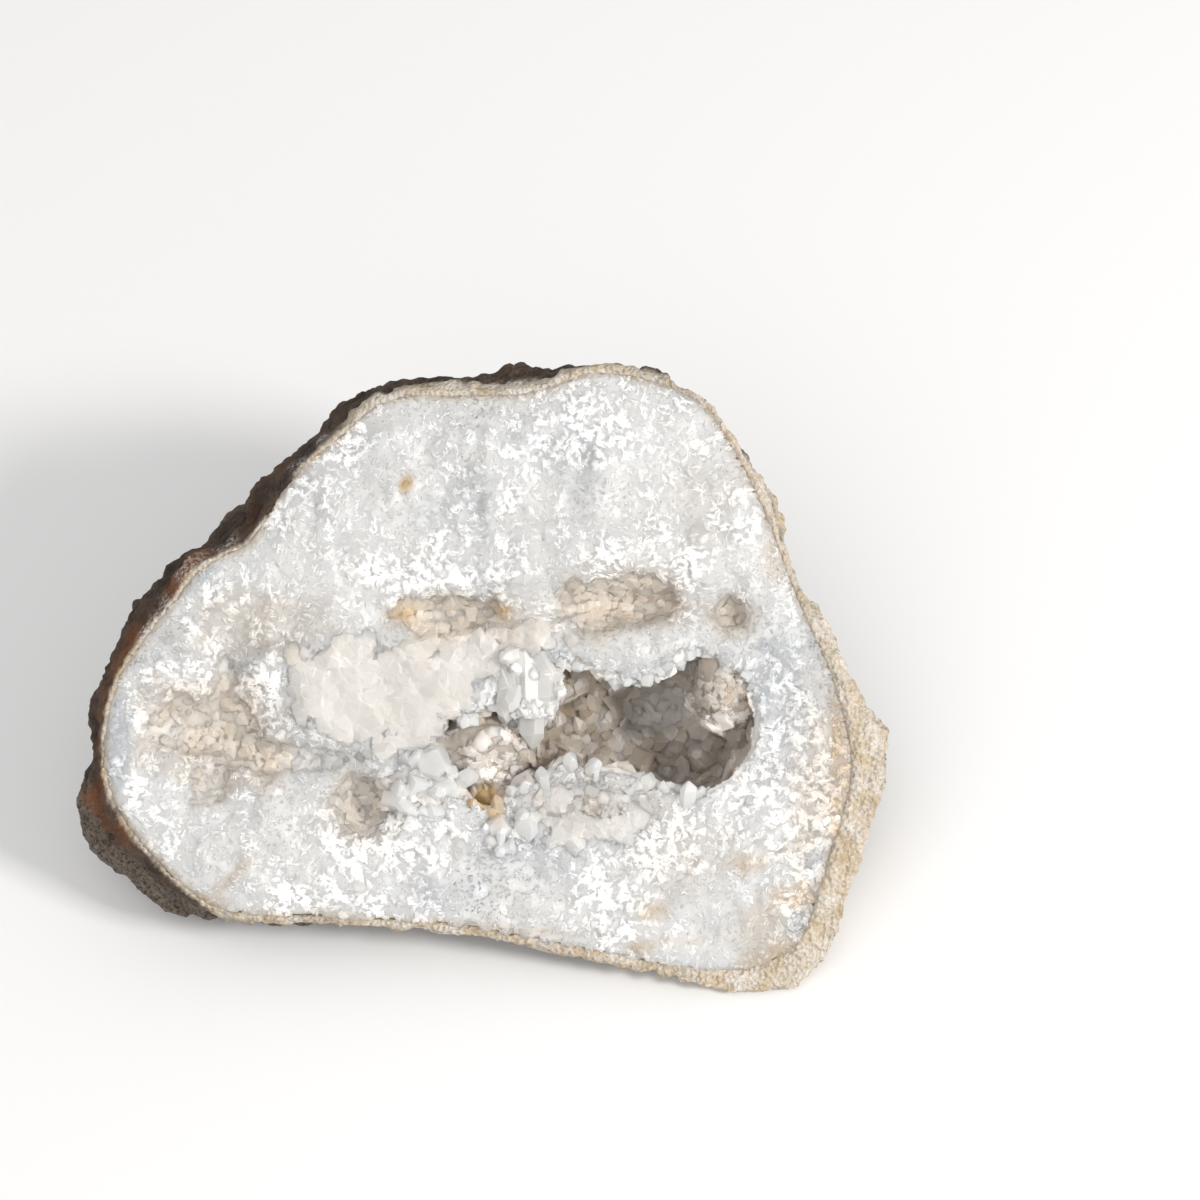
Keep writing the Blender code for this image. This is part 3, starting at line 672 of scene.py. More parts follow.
    def zone_levels(self, places: np.ndarray) -> dict[str, np.ndarray]:
        """How strongly each kind of zone shows at each place.

        Args:
            places: u and v along the last axis.

        Returns:
            A value from 0 to about 1 for each place, by the kind's attribute name.
        """
        ragged = 0.34 * layered_noise(places, 6.5, SEED + 40) + 0.12 * smooth_noise(places, 1.3, SEED + 45)
        found = {effect.value: np.zeros(places.shape[:-1]) for effect in ZoneEffect}
        for zone in self.zones:
            du = places[..., 0] - zone.u
            dv = places[..., 1] - zone.v
            along = du * math.cos(zone.turn) + dv * math.sin(zone.turn)
            across = dv * math.cos(zone.turn) - du * math.sin(zone.turn)
            share = np.hypot(along / zone.reach_u, across / zone.reach_v)
            soft = self.crisp_edge if zone.effect is ZoneEffect.BARE else self.soft_edge
            level = zone.strength * smooth_step((1.0 + 0.5 * soft - share - ragged) / soft)
            found[zone.effect.value] = np.maximum(found[zone.effect.value], level)
        return found

    def height(self, places: np.ndarray) -> np.ndarray:
        """Height of the broken quartz over the plane of the face.

        Args:
            places: u and v along the last axis.

        Returns:
            Millimetres at each place.
        """
        beyond = polygon_distance(places, self.rim())
        fade = smooth_step(-beyond / self.rim_fade)
        level = np.zeros(places.shape[:-1])
        for swell in self.swells:
            du = (places[..., 0] - swell.u) / swell.reach_u
            dv = (places[..., 1] - swell.v) / swell.reach_v
            level += swell.rise * np.exp(-du ** 2 - dv ** 2)
        zone_levels = self.zone_levels(places)
        bare = zone_levels[ZoneEffect.BARE.value]
        smooth = np.clip(zone_levels[ZoneEffect.SMOOTH.value] + bare, 0.0, 1.0)
        bent = places + 1.6 * np.stack([smooth_noise(places, 5.0, SEED + n) for n in (50, 51)], axis=-1)
        lump, tall = nearest_seed(bent, self.lump_size, SEED + 52)
        level += self.lump_height * (0.5 + tall) * (0.45 - lump ** 2)
        level += broken_cells(bent, self.plate_size, self.plate_slope, SEED + 53) * (1.0 - 0.35 * smooth)
        level += broken_cells(places, self.chip_size, self.chip_slope, SEED + 58) * (1.0 - 0.5 * smooth)
        level += 0.6 * layered_noise(places, 12.0, SEED + 55)
        level -= self.bare_depth * bare
        return fade * level + self.rim_rise - self.rim_dip * smooth_step((beyond - 0.2) / 1.2)

    def hollow_field(self, u: np.ndarray, v: np.ndarray, w: np.ndarray) -> np.ndarray:
        """Rough distance to the edge of the hollow.

        Args:
            u: places along the face, with v and w as arrays that fit together.
            v: places up the face.
            w: places out of the face.

        Returns:
            Millimetres at each place, negative in the hollow.
        """
        ovals = oval_field((u, v, w), self.hollow)
        places = np.stack(np.broadcast_arrays(u, v), axis=-1)
        mouth = polygon_distance(places, np.array(self.mouth))
        bays = self.bay_depth * (nearest_seed(places, self.bay_size, SEED + 60)[0] - 0.5)
        mouth += bays + self.fray_depth * smooth_noise(places, self.fray_size, SEED + 61)
        undercut = np.clip(-w - self.lip_thickness, 0.0, self.deepest_undercut)
        return np.maximum(ovals, mouth - undercut)


@dataclass
class QuartzMass:
    """The massive milky quartz: the broken face over a body that fits in the rind, less the hollow."""

    face: BrokenFace
    step: float = 0.87
    overlap: float = 1.25
    clearance: float = 0.35
    lip_depth: float = -1.7
    lowest: float = -48.0
    highest: float = 11.0
    hollow_depth: float = -32.0
    ray_start: float = 80.0

    def underside(self, places: np.ndarray) -> np.ndarray:
        """Height of the solid's underside below each place, read from the CAD solid.

        Args:
            places: rows of u and v.

        Returns:
            Millimetres over the face's plane, and the lip's depth where there is no solid.
        """
        shape = joined_copy("quartz_wall")
        tree = BVHTree.FromBMesh(shape)
        shape.free()
        up = Vector(FACE.axes[:, 2])
        starts = FACE.to_frame(np.column_stack((places, np.full(len(places), -self.ray_start))))
        found = np.full(len(places), self.lip_depth)
        for index, start in enumerate(starts):
            hit, _, _, distance = tree.ray_cast(Vector(start), up)
            if hit is not None:
                found[index] = distance / MM - self.ray_start
        return found

    def build(self) -> tuple[np.ndarray, np.ndarray, dict[str, np.ndarray]]:
        """Shape the mass.

        Returns:
            Points in face coordinates, quads, and the attributes of the points.
        """
        rim = self.face.rim()
        low = np.append(rim.min(axis=0) - 2.0, self.lowest)
        high = np.append(rim.max(axis=0) + 2.0, self.highest)
        axes = [np.arange(a, b, self.step) for a, b in zip(low, high)]
        flat = np.stack(np.meshgrid(axes[0], axes[1], indexing="ij"), axis=-1)
        top = self.face.height(flat)
        edge = polygon_distance(flat, rim) - self.overlap
        bottom = self.underside(flat.reshape(-1, 2)).reshape(edge.shape) + self.clearance
        u, v, w = np.meshgrid(*axes, indexing="ij", sparse=True)
        field = np.maximum(w - top[..., None], bottom[..., None] - w)
        field = np.maximum(field, edge[..., None])
        floor = max(int((self.hollow_depth - low[2]) / self.step), 0)
        hollow = self.face.hollow_field(u, v, w[..., floor:])
        field[..., floor:] = np.maximum(field[..., floor:], -hollow)
        points, quads = surface_net(field, low, self.step)
        return points, quads, self.attributes(points)

    def attributes(self, points: np.ndarray) -> dict[str, np.ndarray]:
        """Staining of the quartz, and painted shade that darkens and warms it further down in the hollow.

        Args:
            points: rows of u, v and w.

        Returns:
            One number for each point under each mask's name, painted shade among them.
        """
        places = points[:, :2]
        found = self.face.zone_levels(places)
        inside = -self.face.hollow_field(points[:, 0], points[:, 1], points[:, 2])
        # Painted shade: the quartz turns darker and warmer the further it lies down in the hollow.
        deep = smooth_step((-points[:, 2] - 2.0) / 10.0) * smooth_step((inside + 3.0) / 2.0)
        found["deep"] = deep
        found["warm"] = np.clip(found["warm"] + 0.6 * deep, 0.0, 1.2)
        found["tone"] = 0.5 + 0.5 * layered_noise(points, 4.0, SEED + 70)
        border = smooth_step((polygon_distance(places, self.face.rim()) + 1.0) / 0.8)
        found["rust"] = np.maximum(found["rust"], 0.4 * border)
        return found


@dataclass
class HollowLining:
    """The crust of translucent quartz that lines the hollow, and the lumps of crystals on it."""

    face: BrokenFace
    step: float = 0.75
    embed: float = 0.3
    thickness: float = 1.3
    lump_size: float = 8.5
    lump_height: float = 4.2
    knob_size: float = 3.6
    knob_height: float = 2.2
    below_face: float = 1.0
    margin: float = 4.5
    lumps: tuple[Lump, ...] = (
        Lump("knob", (0.2, -10.9, -6.0), (10.8, 6.6, 6.4), 0.7, 0.3),
        Lump("right lump", (54.0, 2.6, -5.5), (7.4, 7.6, 4.6), 1.0, 0.6),
        Lump("hanging block", (9.8, 2.8, -2.0), (6.0, 7.0, 3.4), 0.0, 0.0),
        Lump("left cluster", (-13.2, -18.4, -1.5), (6.4, 6.8, 3.4), 0.0, 0.15),
        Lump("lower block", (24.0, -22.8, -4.8), (10.5, 6.6, 5.4), 0.4, 0.6),
        Lump("floor of the arm", (6.0, -21.0, -9.0), (10.0, 5.0, 5.0), 0.3, 0.3),
        Lump("white mound", (7.0, -31.0, -2.4), (8.5, 4.6, 4.6), 0.0, 1.0),
    )

    def build(self) -> tuple[np.ndarray, np.ndarray, dict[str, np.ndarray]]:
        """Shape the crust.

        Returns:
            Points in face coordinates, quads, and the attributes of the points.
        """
        centres = np.array([oval.centre for oval in self.face.hollow + self.lumps])
        radii = np.array([oval.radii for oval in self.face.hollow + self.lumps])
        low = (centres - radii).min(axis=0) - self.margin
        high = (centres + radii).max(axis=0) + self.margin
        high[2] = 6.0
        axes = [np.arange(a, b, self.step) for a, b in zip(low, high)]
        flat = np.stack(np.meshgrid(axes[0], axes[1], indexing="ij"), axis=-1)
        top = self.face.height(flat)[..., None] - self.below_face
        u, v, w = np.meshgrid(*axes, indexing="ij", sparse=True)
        outer = self.face.hollow_field(u, v, w)
        inner = outer + self.thickness
        lumps = oval_field((u, v, w), self.lumps) + 0.0 * outer
        near = ((inner < 1.0) & (inner > -5.0)) | (np.abs(lumps) < 3.0)
        points = np.stack(np.broadcast_arrays(u, v, w), axis=-1)[near]
        bent = points + 1.2 * np.stack([smooth_noise(points, 5.0, SEED + n) for n in (80, 81, 82)], axis=-1)
        lump, tall = nearest_seed(bent, self.lump_size, SEED + 83)
        knob, high_knob = nearest_seed(bent, self.knob_size, SEED + 84)
        knobs = self.knob_height * (0.4 + high_knob) * np.maximum(0.6 - knob ** 2, 0.0)
        relief = self.lump_height * (0.4 + tall) * np.maximum(0.75 - lump ** 2, 0.0) + knobs
        inner[near] += relief * smooth_step((-points[:, 2] - 2.5) / 6.0)
        lumps[near] -= 1.3 * knobs
        field = np.maximum(outer - self.embed, -inner)
        field = np.maximum(field, w - top)
        points, quads = largest_part(*surface_net(np.minimum(field, lumps), low, self.step))
        return points, quads, self.attributes(points)

    def attributes(self, points: np.ndarray) -> dict[str, np.ndarray]:
        """Staining of the crust, and painted shade: darker and warmer further down in the hollow, most of all
        where the light reaches it, standing in for the hollow's shade.

        Args:
            points: rows of u, v and w.

        Returns:
            One number for each point under each mask's name, painted shade among them, and under coat, the
            share of small crystals.
        """
        found = self.face.zone_levels(points[:, :2])
        # Painted shade: the crust darkens further down in the hollow, most where the lamp reaches it, to
        # stand in for the shade that fills the hollow.
        lit = smooth_step((38.0 - points[:, 0]) / 14.0)
        lit = np.maximum(lit, 0.8 * smooth_step((-5.0 - points[:, 1]) / 6.0))
        depth = smooth_step((-points[:, 2] - 0.5) / 3.5) * (0.16 + 0.84 * lit)
        found["coat"] = np.zeros(len(points))
        # Each lump lays its own painted shade over the crust.
        for lump in self.lumps:
            on = smooth_step((1.6 - oval_field(tuple(points.T), (lump,))) / 0.6)
            depth = depth * (1.0 - on) + np.maximum(0.6 * depth, lump.shade) * on
            found["coat"] = found["coat"] * (1.0 - on) + lump.coat * on
        found["deep"] = depth
        cloud = 0.15 * smooth_noise(points, 9.0, SEED + 85)
        found["warm"] = np.clip(found["warm"] + 0.3 * depth + cloud, 0.0, 1.0)
        found["rust"] = amber_patch(points)
        from_block = np.hypot((points[:, 0] - 10.0) / 9.0, points[:, 1] / 11.0)
        found["cool"] = 0.3 * smooth_step((1.0 - from_block) / 0.3)
        found["tone"] = 0.5 + 0.5 * layered_noise(points, 6.0, SEED + 86)
        return found


def cut_solid(normals: np.ndarray, distances: np.ndarray,
              merge: float = 0.01) -> tuple[np.ndarray, np.ndarray]:
    """The solid that lies inside a set of planes.

    Args:
        normals: directions that the planes face, as rows.
        distances: how far each plane lies from the origin.
        merge: how near to each other two corners become one.

    Returns:
        The solid's corners, and triangles that turn their fronts outwards.
    """
    triples = np.array(list(itertools.combinations(range(len(normals)), 3)))
    systems = normals[triples]
    sound = np.abs(np.linalg.det(systems)) > 1e-4
    corners = np.linalg.solve(systems[sound], distances[triples[sound]][..., None])[..., 0]
    within = (corners @ normals.T <= distances + 1e-6).all(axis=1)
    corners, planes = corners[within], triples[sound][within]
    close = np.linalg.norm(corners[:, None] - corners[None], axis=2) < merge
    kept, number = np.unique(close.argmax(axis=1), return_inverse=True)
    corners = corners[kept]
    triangles = []
    for plane, normal in enumerate(normals):
        on = np.unique(number[(planes == plane).any(axis=1)])
        if len(on) < 3:
            continue
        offset = corners[on] - corners[on].mean(axis=0)
        across = offset[0] / np.linalg.norm(offset[0])
        order = on[np.argsort(np.arctan2(offset @ np.cross(normal, across), offset @ across))]
        triangles += [(order[0], order[i], order[i + 1]) for i in range(1, len(order) - 1)]
    return corners, np.array(triangles)


def quartz_crystal(rng: np.random.Generator, length: float, radius: float, root: float) -> tuple:
    """One quartz crystal along +w: six uneven sides and a tip of three large and three small faces.

    Args:
        rng: source of its unevenness.
        length: from its foot to its tip.
        radius: of its shaft.
        root: how far it goes on below its foot.

    Returns:
        Corners and triangles.
    """
    normals = [(0.0, 0.0, -1.0)]
    distances = [root]
    start = rng.uniform(0.0, math.pi / 3.0)
    slant = math.radians(52.0)
    for side in range(6):
        turn = start + side * math.pi / 3.0
        normals.append((math.cos(turn), math.sin(turn), 0.0))
        distances.append(radius * rng.uniform(0.72, 1.0))
        steep = slant + math.radians(rng.uniform(-4.0, 4.0))
        normals.append((math.sin(steep) * math.cos(turn), math.sin(steep) * math.sin(turn), math.cos(steep)))
        setback = radius * (rng.uniform(0.0, 0.08) if side % 2 == 0 else rng.uniform(0.1, 0.35))
        distances.append(length * math.cos(steep) + setback)
    return cut_solid(np.array(normals), np.array(distances))


def angular_chunk(rng: np.random.Generator, planes: int, stretch: float) -> tuple[np.ndarray, np.ndarray]:
    """One angular grain of about unit radius.

    Args:
        rng: source of its shape.
        planes: how many planes bound it.
        stretch: how much taller than wide it is.

    Returns:
        Corners and triangles.
    """
    golden = math.pi * (3.0 - math.sqrt(5.0))
    steps = np.arange(planes) + 0.5
    level = 1.0 - 2.0 * steps / planes
    ring = np.sqrt(1.0 - level ** 2)
    normals = np.stack((ring * np.cos(golden * steps), ring * np.sin(golden * steps), level), axis=1)
    normals += rng.uniform(-0.22, 0.22, normals.shape)
    normals /= np.linalg.norm(normals, axis=1)[:, None]
    corners, triangles = cut_solid(normals, rng.uniform(0.62, 0.95, planes))
    corners[:, 2] *= stretch
    return corners, triangles


@dataclass
class HollowCrystals:
    """The large crystals in and round the hollow, and the row of small ones along its edge."""

    face: BrokenFace
    root_depth: float = 2.0
    young: int = 4
    edge_spacing: float = 1.5
    spars: tuple[Spar, ...] = (
        Spar("hanging body", (10.4, 9.0, -2.4), (0.02, -1.0, 0.05), 14.0, 5.4, 0.2),
        Spar("hanging tip", (11.2, 2.5, -1.8), (0.0, -1.0, 0.0), 13.0, 3.4, 0.2),
        Spar("hanging, right", (13.4, 7.0, -1.9), (0.05, -0.95, 0.1), 10.5, 3.5, 0.2),
        Spar("hanging, left", (6.6, 5.5, -2.2), (-0.08, -0.95, 0.12), 10.2, 3.9, 0.2),
        Spar("hanging, far left", (5.4, 0.5, -3.2), (0.0, -1.0, 0.0), 6.2, 1.8),
        Spar("hanging, upper right", (13.0, 7.5, -2.0), (0.35, -0.35, 0.8), 5.0, 3.6, 0.15),
        Spar("hanging, upper left", (6.5, 9.0, -1.6), (-0.35, -0.2, 0.9), 4.2, 3.6, 0.15),
        Spar("left, tall", (-10.5, -15.5, -2.5), (0.15, 0.55, 0.8), 9.0, 4.2),
        Spar("left, broad", (-13.0, -18.5, -3.0), (-0.05, 0.12, 1.0), 7.4, 6.4),
        Spar("left, point", (-14.5, -20.5, -2.5), (-0.85, -0.15, 0.5), 7.8, 5.0),
        Spar("left, low", (-11.0, -22.0, -3.0), (0.15, -0.35, 0.9), 7.2, 5.2),
        Spar("left, right side", (-8.5, -19.0, -3.0), (0.35, 0.1, 0.9), 7.0, 4.4),
        Spar("left, upper", (-14.5, -13.5, -2.5), (-0.3, 0.35, 0.9), 5.6, 3.6),
        Spar("plate", (-2.5, -24.0, -3.5), (-0.55, 0.75, 0.4), 9.0, 2.6, 0.2),
        Spar("white tip", (4.0, -29.5, -1.0), (0.1, 0.65, 0.7), 7.0, 3.6),
        Spar("white tip, right", (10.0, -29.0, -1.0), (0.1, 0.55, 0.8), 6.4, 3.4),
        Spar("white tip, low", (6.5, -32.5, -1.0), (0.0, 0.2, 0.95), 6.0, 3.4),
        Spar("beige tip", (10.5, -22.0, -5.5), (-0.05, 0.8, 0.65), 8.5, 5.0, 0.65),
        Spar("lip crystal", (18.5, -17.5, -3.0), (0.05, 0.9, 0.3), 5.0, 1.5),
        Spar("rounded crystal", (49.5, -21.5, -3.0), (-0.1, 0.7, 0.5), 3.4, 1.5, 0.4),
        Spar("crystal on the wall", (48.5, -13.0, -12.5), (-0.6, 0.4, 0.6), 3.8, 1.5, 0.7),
    )

    def edge(self, rng: np.random.Generator) -> list[tuple]:
        """Place small crystals that point in over the hollow's edge.

        Args:
            rng: source of their unevenness.

        Returns:
            Foot, way, length, radius and shade of each.
        """
        grown = []
        corners = np.array(self.face.mouth)
        for start, end in zip(corners, np.roll(corners, -1, axis=0)):
            length = math.dist(start, end)
            inwards = np.array((end[1] - start[1], start[0] - end[0])) / length
            steps = np.arange(rng.uniform(0.0, 1.0), length / self.edge_spacing)
            for share in steps * self.edge_spacing / length:
                radius = rng.uniform(0.7, 1.5) * rng.choice((0.8, 1.0, 1.35))
                place = start + share * (end - start) - inwards * rng.uniform(0.2, 1.6)
                way = np.array((*(inwards * rng.uniform(0.3, 1.0)), rng.uniform(-0.1, 1.0)))
                way[:2] += rng.uniform(-0.35, 0.35, 2)
                grown.append((np.array((*place, rng.uniform(-2.6, -0.4))), way / np.linalg.norm(way),
                              radius * rng.uniform(1.6, 2.6), radius, 0.0))
        return grown

    def build(self) -> tuple[np.ndarray, np.ndarray, dict[str, np.ndarray]]:
        """Grow the crystals.

        Returns:
            Points in face coordinates, triangles, and the attributes of the points.
        """
        rng = np.random.default_rng(SEED + 90)
        grown = self.edge(rng)
        for spar in self.spars:
            way = np.array(spar.way) / np.linalg.norm(spar.way)
            foot = np.array(spar.place)
            grown.append((foot, way, spar.length, spar.radius, spar.shade))
            for _ in range(self.young):
                lean = way + rng.uniform(-0.45, 0.45, 3)
                lean /= np.linalg.norm(lean)
                side = np.cross(way, rng.uniform(-1.0, 1.0, 3))
                side /= np.linalg.norm(side)
                place = foot + side * spar.radius * rng.uniform(0.5, 0.9)
                place = place + way * spar.length * rng.uniform(0.0, 0.5)
                radius = spar.radius * rng.uniform(0.25, 0.5)
                grown.append((place, lean, radius * rng.uniform(1.8, 3.0), radius, spar.shade))
        points, triangles, tones, shades = [], [], [], []
        count = 0
        for place, lean, length, radius, shade in grown:
            corners, faces = quartz_crystal(rng, length, radius, self.root_depth)
            turn = np.array(Vector((0.0, 0.0, 1.0)).rotation_difference(Vector(lean)).to_matrix())
            points.append(corners @ turn.T + place)
            triangles.append(faces + count)
            tones.append(np.full(len(corners), rng.uniform(0.0, 1.0)))
            shades.append(np.full(len(corners), shade))
            count += len(corners)
        points = np.concatenate(points)
        found = self.face.zone_levels(points[:, :2])
        # Painted shade: crystals darken further down in the hollow or by their own shade value, and turn
        # warmer with it.
        found["deep"] = np.maximum(0.8 * smooth_step((-points[:, 2] - 4.0) / 14.0), np.concatenate(shades))
        found["warm"] = np.clip(0.5 * found["warm"] + 0.4 * found["deep"], 0.0, 1.0)
        found["rust"] = amber_patch(points)
        found["tone"] = np.concatenate(tones)
        return points, np.concatenate(triangles), found


class Nodes:
    """Short ways to add nodes to a tree and link them."""

    def __init__(self, tree: bpy.types.NodeTree) -> None:
        """Work on a tree."""
        self.tree = tree

    def add(self, kind: str, inputs: dict | None = None, **settings: object) -> bpy.types.Node:
        """Add a node.

        Args:
            kind: the node's type.
            inputs: a value or another node's output for each input, by name or number.
            settings: properties of the node.

        Returns:
            The new node.
        """
        node = self.tree.nodes.new(kind)
        for name, value in settings.items():
            setattr(node, name, value)
        for name, value in (inputs or {}).items():
            if isinstance(value, bpy.types.NodeSocket):
                self.tree.links.new(value, node.inputs[name])
            else:
                node.inputs[name].default_value = value
        return node

    def mask(self, name: str) -> bpy.types.NodeSocket:
        """Read one of the masks kept on the points."""
        return self.add("ShaderNodeAttribute", attribute_name=name, attribute_type="GEOMETRY").outputs["Fac"]

    def blend(self, share: object, first: object, second: object) -> bpy.types.NodeSocket:
        """Mix two colours.

        Args:
            share: how much of the second colour there is.
            first: a colour or another node's output.
            second: a colour or another node's output.

        Returns:
            The mixed colour.
        """
        node = self.add("ShaderNodeMix", data_type="RGBA")
        for index, value in ((0, share), (6, first), (7, second)):
            if isinstance(value, bpy.types.NodeSocket):
                self.tree.links.new(value, node.inputs[index])
            else:
                node.inputs[index].default_value = value
        return node.outputs[2]

    def math(self, operation: str, first: object, second: object = 0.0) -> bpy.types.NodeSocket:
        """Calculate with two numbers, and keep the result from 0 to 1."""
        inputs = {0: first, 1: second}
        return self.add("ShaderNodeMath", inputs, operation=operation, use_clamp=True).outputs[0]

    def spread(self, value: bpy.types.NodeSocket, low: float, high: float) -> bpy.types.NodeSocket:
        """Stretch the part of a value between two limits to 0 to 1."""
        inputs = {"Value": value, "From Min": low, "From Max": high}
        return self.add("ShaderNodeMapRange", inputs).outputs[0]

    def group(self, group: bpy.types.NodeTree, inputs: dict) -> bpy.types.NodeSocket:
        """Place a node group with its own values, and give what it puts out."""
        return self.add("ShaderNodeGroup", inputs, node_tree=group).outputs[0]

    def named(self, name: str) -> bpy.types.NodeSocket:
        """Read a number kept on the points, in Geometry Nodes."""
        node = self.add("GeometryNodeInputNamedAttribute", {"Name": name}, data_type="FLOAT")
        return node.outputs["Attribute"]

    def random(self, seed: int, inputs: dict, kind: str = "FLOAT") -> bpy.types.NodeSocket:
        """Draw a random value for each point, in Geometry Nodes."""
        node = self.add("FunctionNodeRandomValue", inputs | {"Seed": seed}, data_type=kind)
        return next(output for output in node.outputs if output.enabled)

    def noise(self, scale: float, detail: float, roughness: float = 0.6) -> bpy.types.NodeSocket:
        """Noise over the object's own coordinates.

        Args:
            scale: how many rises there are in a metre.
            detail: how many finer layers are added.
            roughness: how strong the finer layers are.

        Returns:
            A value from 0 to 1.
        """
        place = self.add("ShaderNodeTexCoord").outputs["Object"]
        inputs = {"Vector": place, "Scale": scale, "Detail": detail, "Roughness": roughness}
        return self.add("ShaderNodeTexNoise", inputs).outputs["Fac"]


def new_group(name: str, inputs: tuple, outputs: tuple) -> tuple[bpy.types.NodeTree, Nodes, dict, dict]:
    """Start a shader node group.

    Args:
        name: the group's name.
        inputs: name and socket type of each input.
        outputs: name and socket type of each output.

    Returns:
        The group, its node maker, the inputs' sockets by name, and the output node's sockets by name.
    """
    group = bpy.data.node_groups.new(name, "ShaderNodeTree")
    for socket, kind in inputs:
        group.interface.new_socket(socket, in_out="INPUT", socket_type=kind)
    for socket, kind in outputs:
        group.interface.new_socket(socket, in_out="OUTPUT", socket_type=kind)
    nodes = Nodes(group)
    entry = nodes.add("NodeGroupInput")
    leave = nodes.add("NodeGroupOutput")
    return group, nodes, {s: entry.outputs[s] for s, _ in inputs}, {s: leave.inputs[s] for s, _ in outputs}


def quartz_colour_group() -> bpy.types.NodeTree:
    """Group that gives quartz its colour: the stone's own, tinted by the masks on its points, and darkened by
    painted shade where the shade mask is set.

    Returns:
        The group.
    """
    colour, number = "NodeSocketColor", "NodeSocketFloat"
    inputs = (("Body", colour), ("Warm", colour), ("Cool", colour), ("Rust", colour), ("Deep", colour),
              ("Pale", colour), ("Mottle", number))
    group, nodes, given, result = new_group("quartz colour", inputs, (("Color", colour),))
    cloud = nodes.noise(140.0, 4.0)
    mottle = nodes.math("MULTIPLY", nodes.math("SUBTRACT", cloud, 0.42), given["Mottle"])
    stained_and_shaded = nodes.blend(nodes.mask("warm"), given["Body"], given["Warm"])
    stained_and_shaded = nodes.blend(nodes.mask("cool"), stained_and_shaded, given["Cool"])
    # Painted shade: darker towards the shade colour down in the hollow and on shaded lumps and crystals.
    stained_and_shaded = nodes.blend(nodes.mask("deep"), stained_and_shaded, given["Deep"])
    patchy = nodes.math("MULTIPLY", nodes.mask("rust"), nodes.math("ADD", nodes.noise(420.0, 2.0), 0.25))
    stained_and_shaded = nodes.blend(patchy, stained_and_shaded, given["Rust"])
    stained_and_shaded = nodes.blend(nodes.math("MULTIPLY", nodes.mask("tone"), 0.35), stained_and_shaded, given["Pale"])
    stained_and_shaded = nodes.blend(mottle, stained_and_shaded, given["Cool"])
    group.links.new(stained_and_shaded, result["Color"])
    return group


def glint_group() -> bpy.types.NodeTree:
    """Group that gives roughness: dull crystals, with a few smooth ones that glint.

    Returns:
        The group.
    """
    number = "NodeSocketFloat"
    inputs = (("Dull", number), ("Smooth", number))
    group, nodes, given, result = new_group("glint", inputs, (("Roughness", number),))
    few = nodes.math("GREATER_THAN", nodes.mask("tone"), 0.95)
    rough = nodes.add("ShaderNodeMix", {0: few, 2: given["Dull"], 3: given["Smooth"]}, data_type="FLOAT")
    group.links.new(rough.outputs[0], result["Roughness"])
    return group


def fine_grain_group() -> bpy.types.NodeTree:
    """Group that gives the height of a broken surface: fine grains over softer unevenness.

    Returns:
        The group.
    """
    number = "NodeSocketFloat"
    group, nodes, given, result = new_group("fine grain", (("Scale", number),), (("Height", number),))
    place = nodes.add("ShaderNodeTexCoord").outputs["Object"]
    inputs = {"Vector": place, "Scale": given["Scale"]}
    cells = nodes.add("ShaderNodeTexVoronoi", inputs).outputs["Distance"]
    soft = nodes.add("ShaderNodeTexNoise", inputs | {"Detail": 3.0}).outputs["Fac"]
    total = nodes.add("ShaderNodeMath", {0: cells, 1: soft}, operation="ADD").outputs[0]
    group.links.new(total, result["Height"])
    return group


def new_material(name: str) -> tuple[bpy.types.Material, Nodes, bpy.types.Node]:
    """Start a material.

    Args:
        name: the material's name.

    Returns:
        The material, its node maker and its shader.
    """
    material = bpy.data.materials.new(name)
    material.use_nodes = True
    return material, Nodes(material.node_tree), material.node_tree.nodes["Principled BSDF"]


def roughen(nodes: Nodes, shader: bpy.types.Node, height: bpy.types.NodeSocket, strength: float,
            distance: float) -> None:
    """Roughen a shader's surface.

    Args:
        nodes: the material's node maker.
        shader: its shader.
        height: the height that tilts the surface.
        strength: how much of the tilt shows.
        distance: the height's reach in metres.
    """
    inputs = {"Height": height, "Strength": strength, "Distance": distance}
    bump = nodes.add("ShaderNodeBump", inputs)
    nodes.tree.links.new(bump.outputs["Normal"], shader.inputs["Normal"])


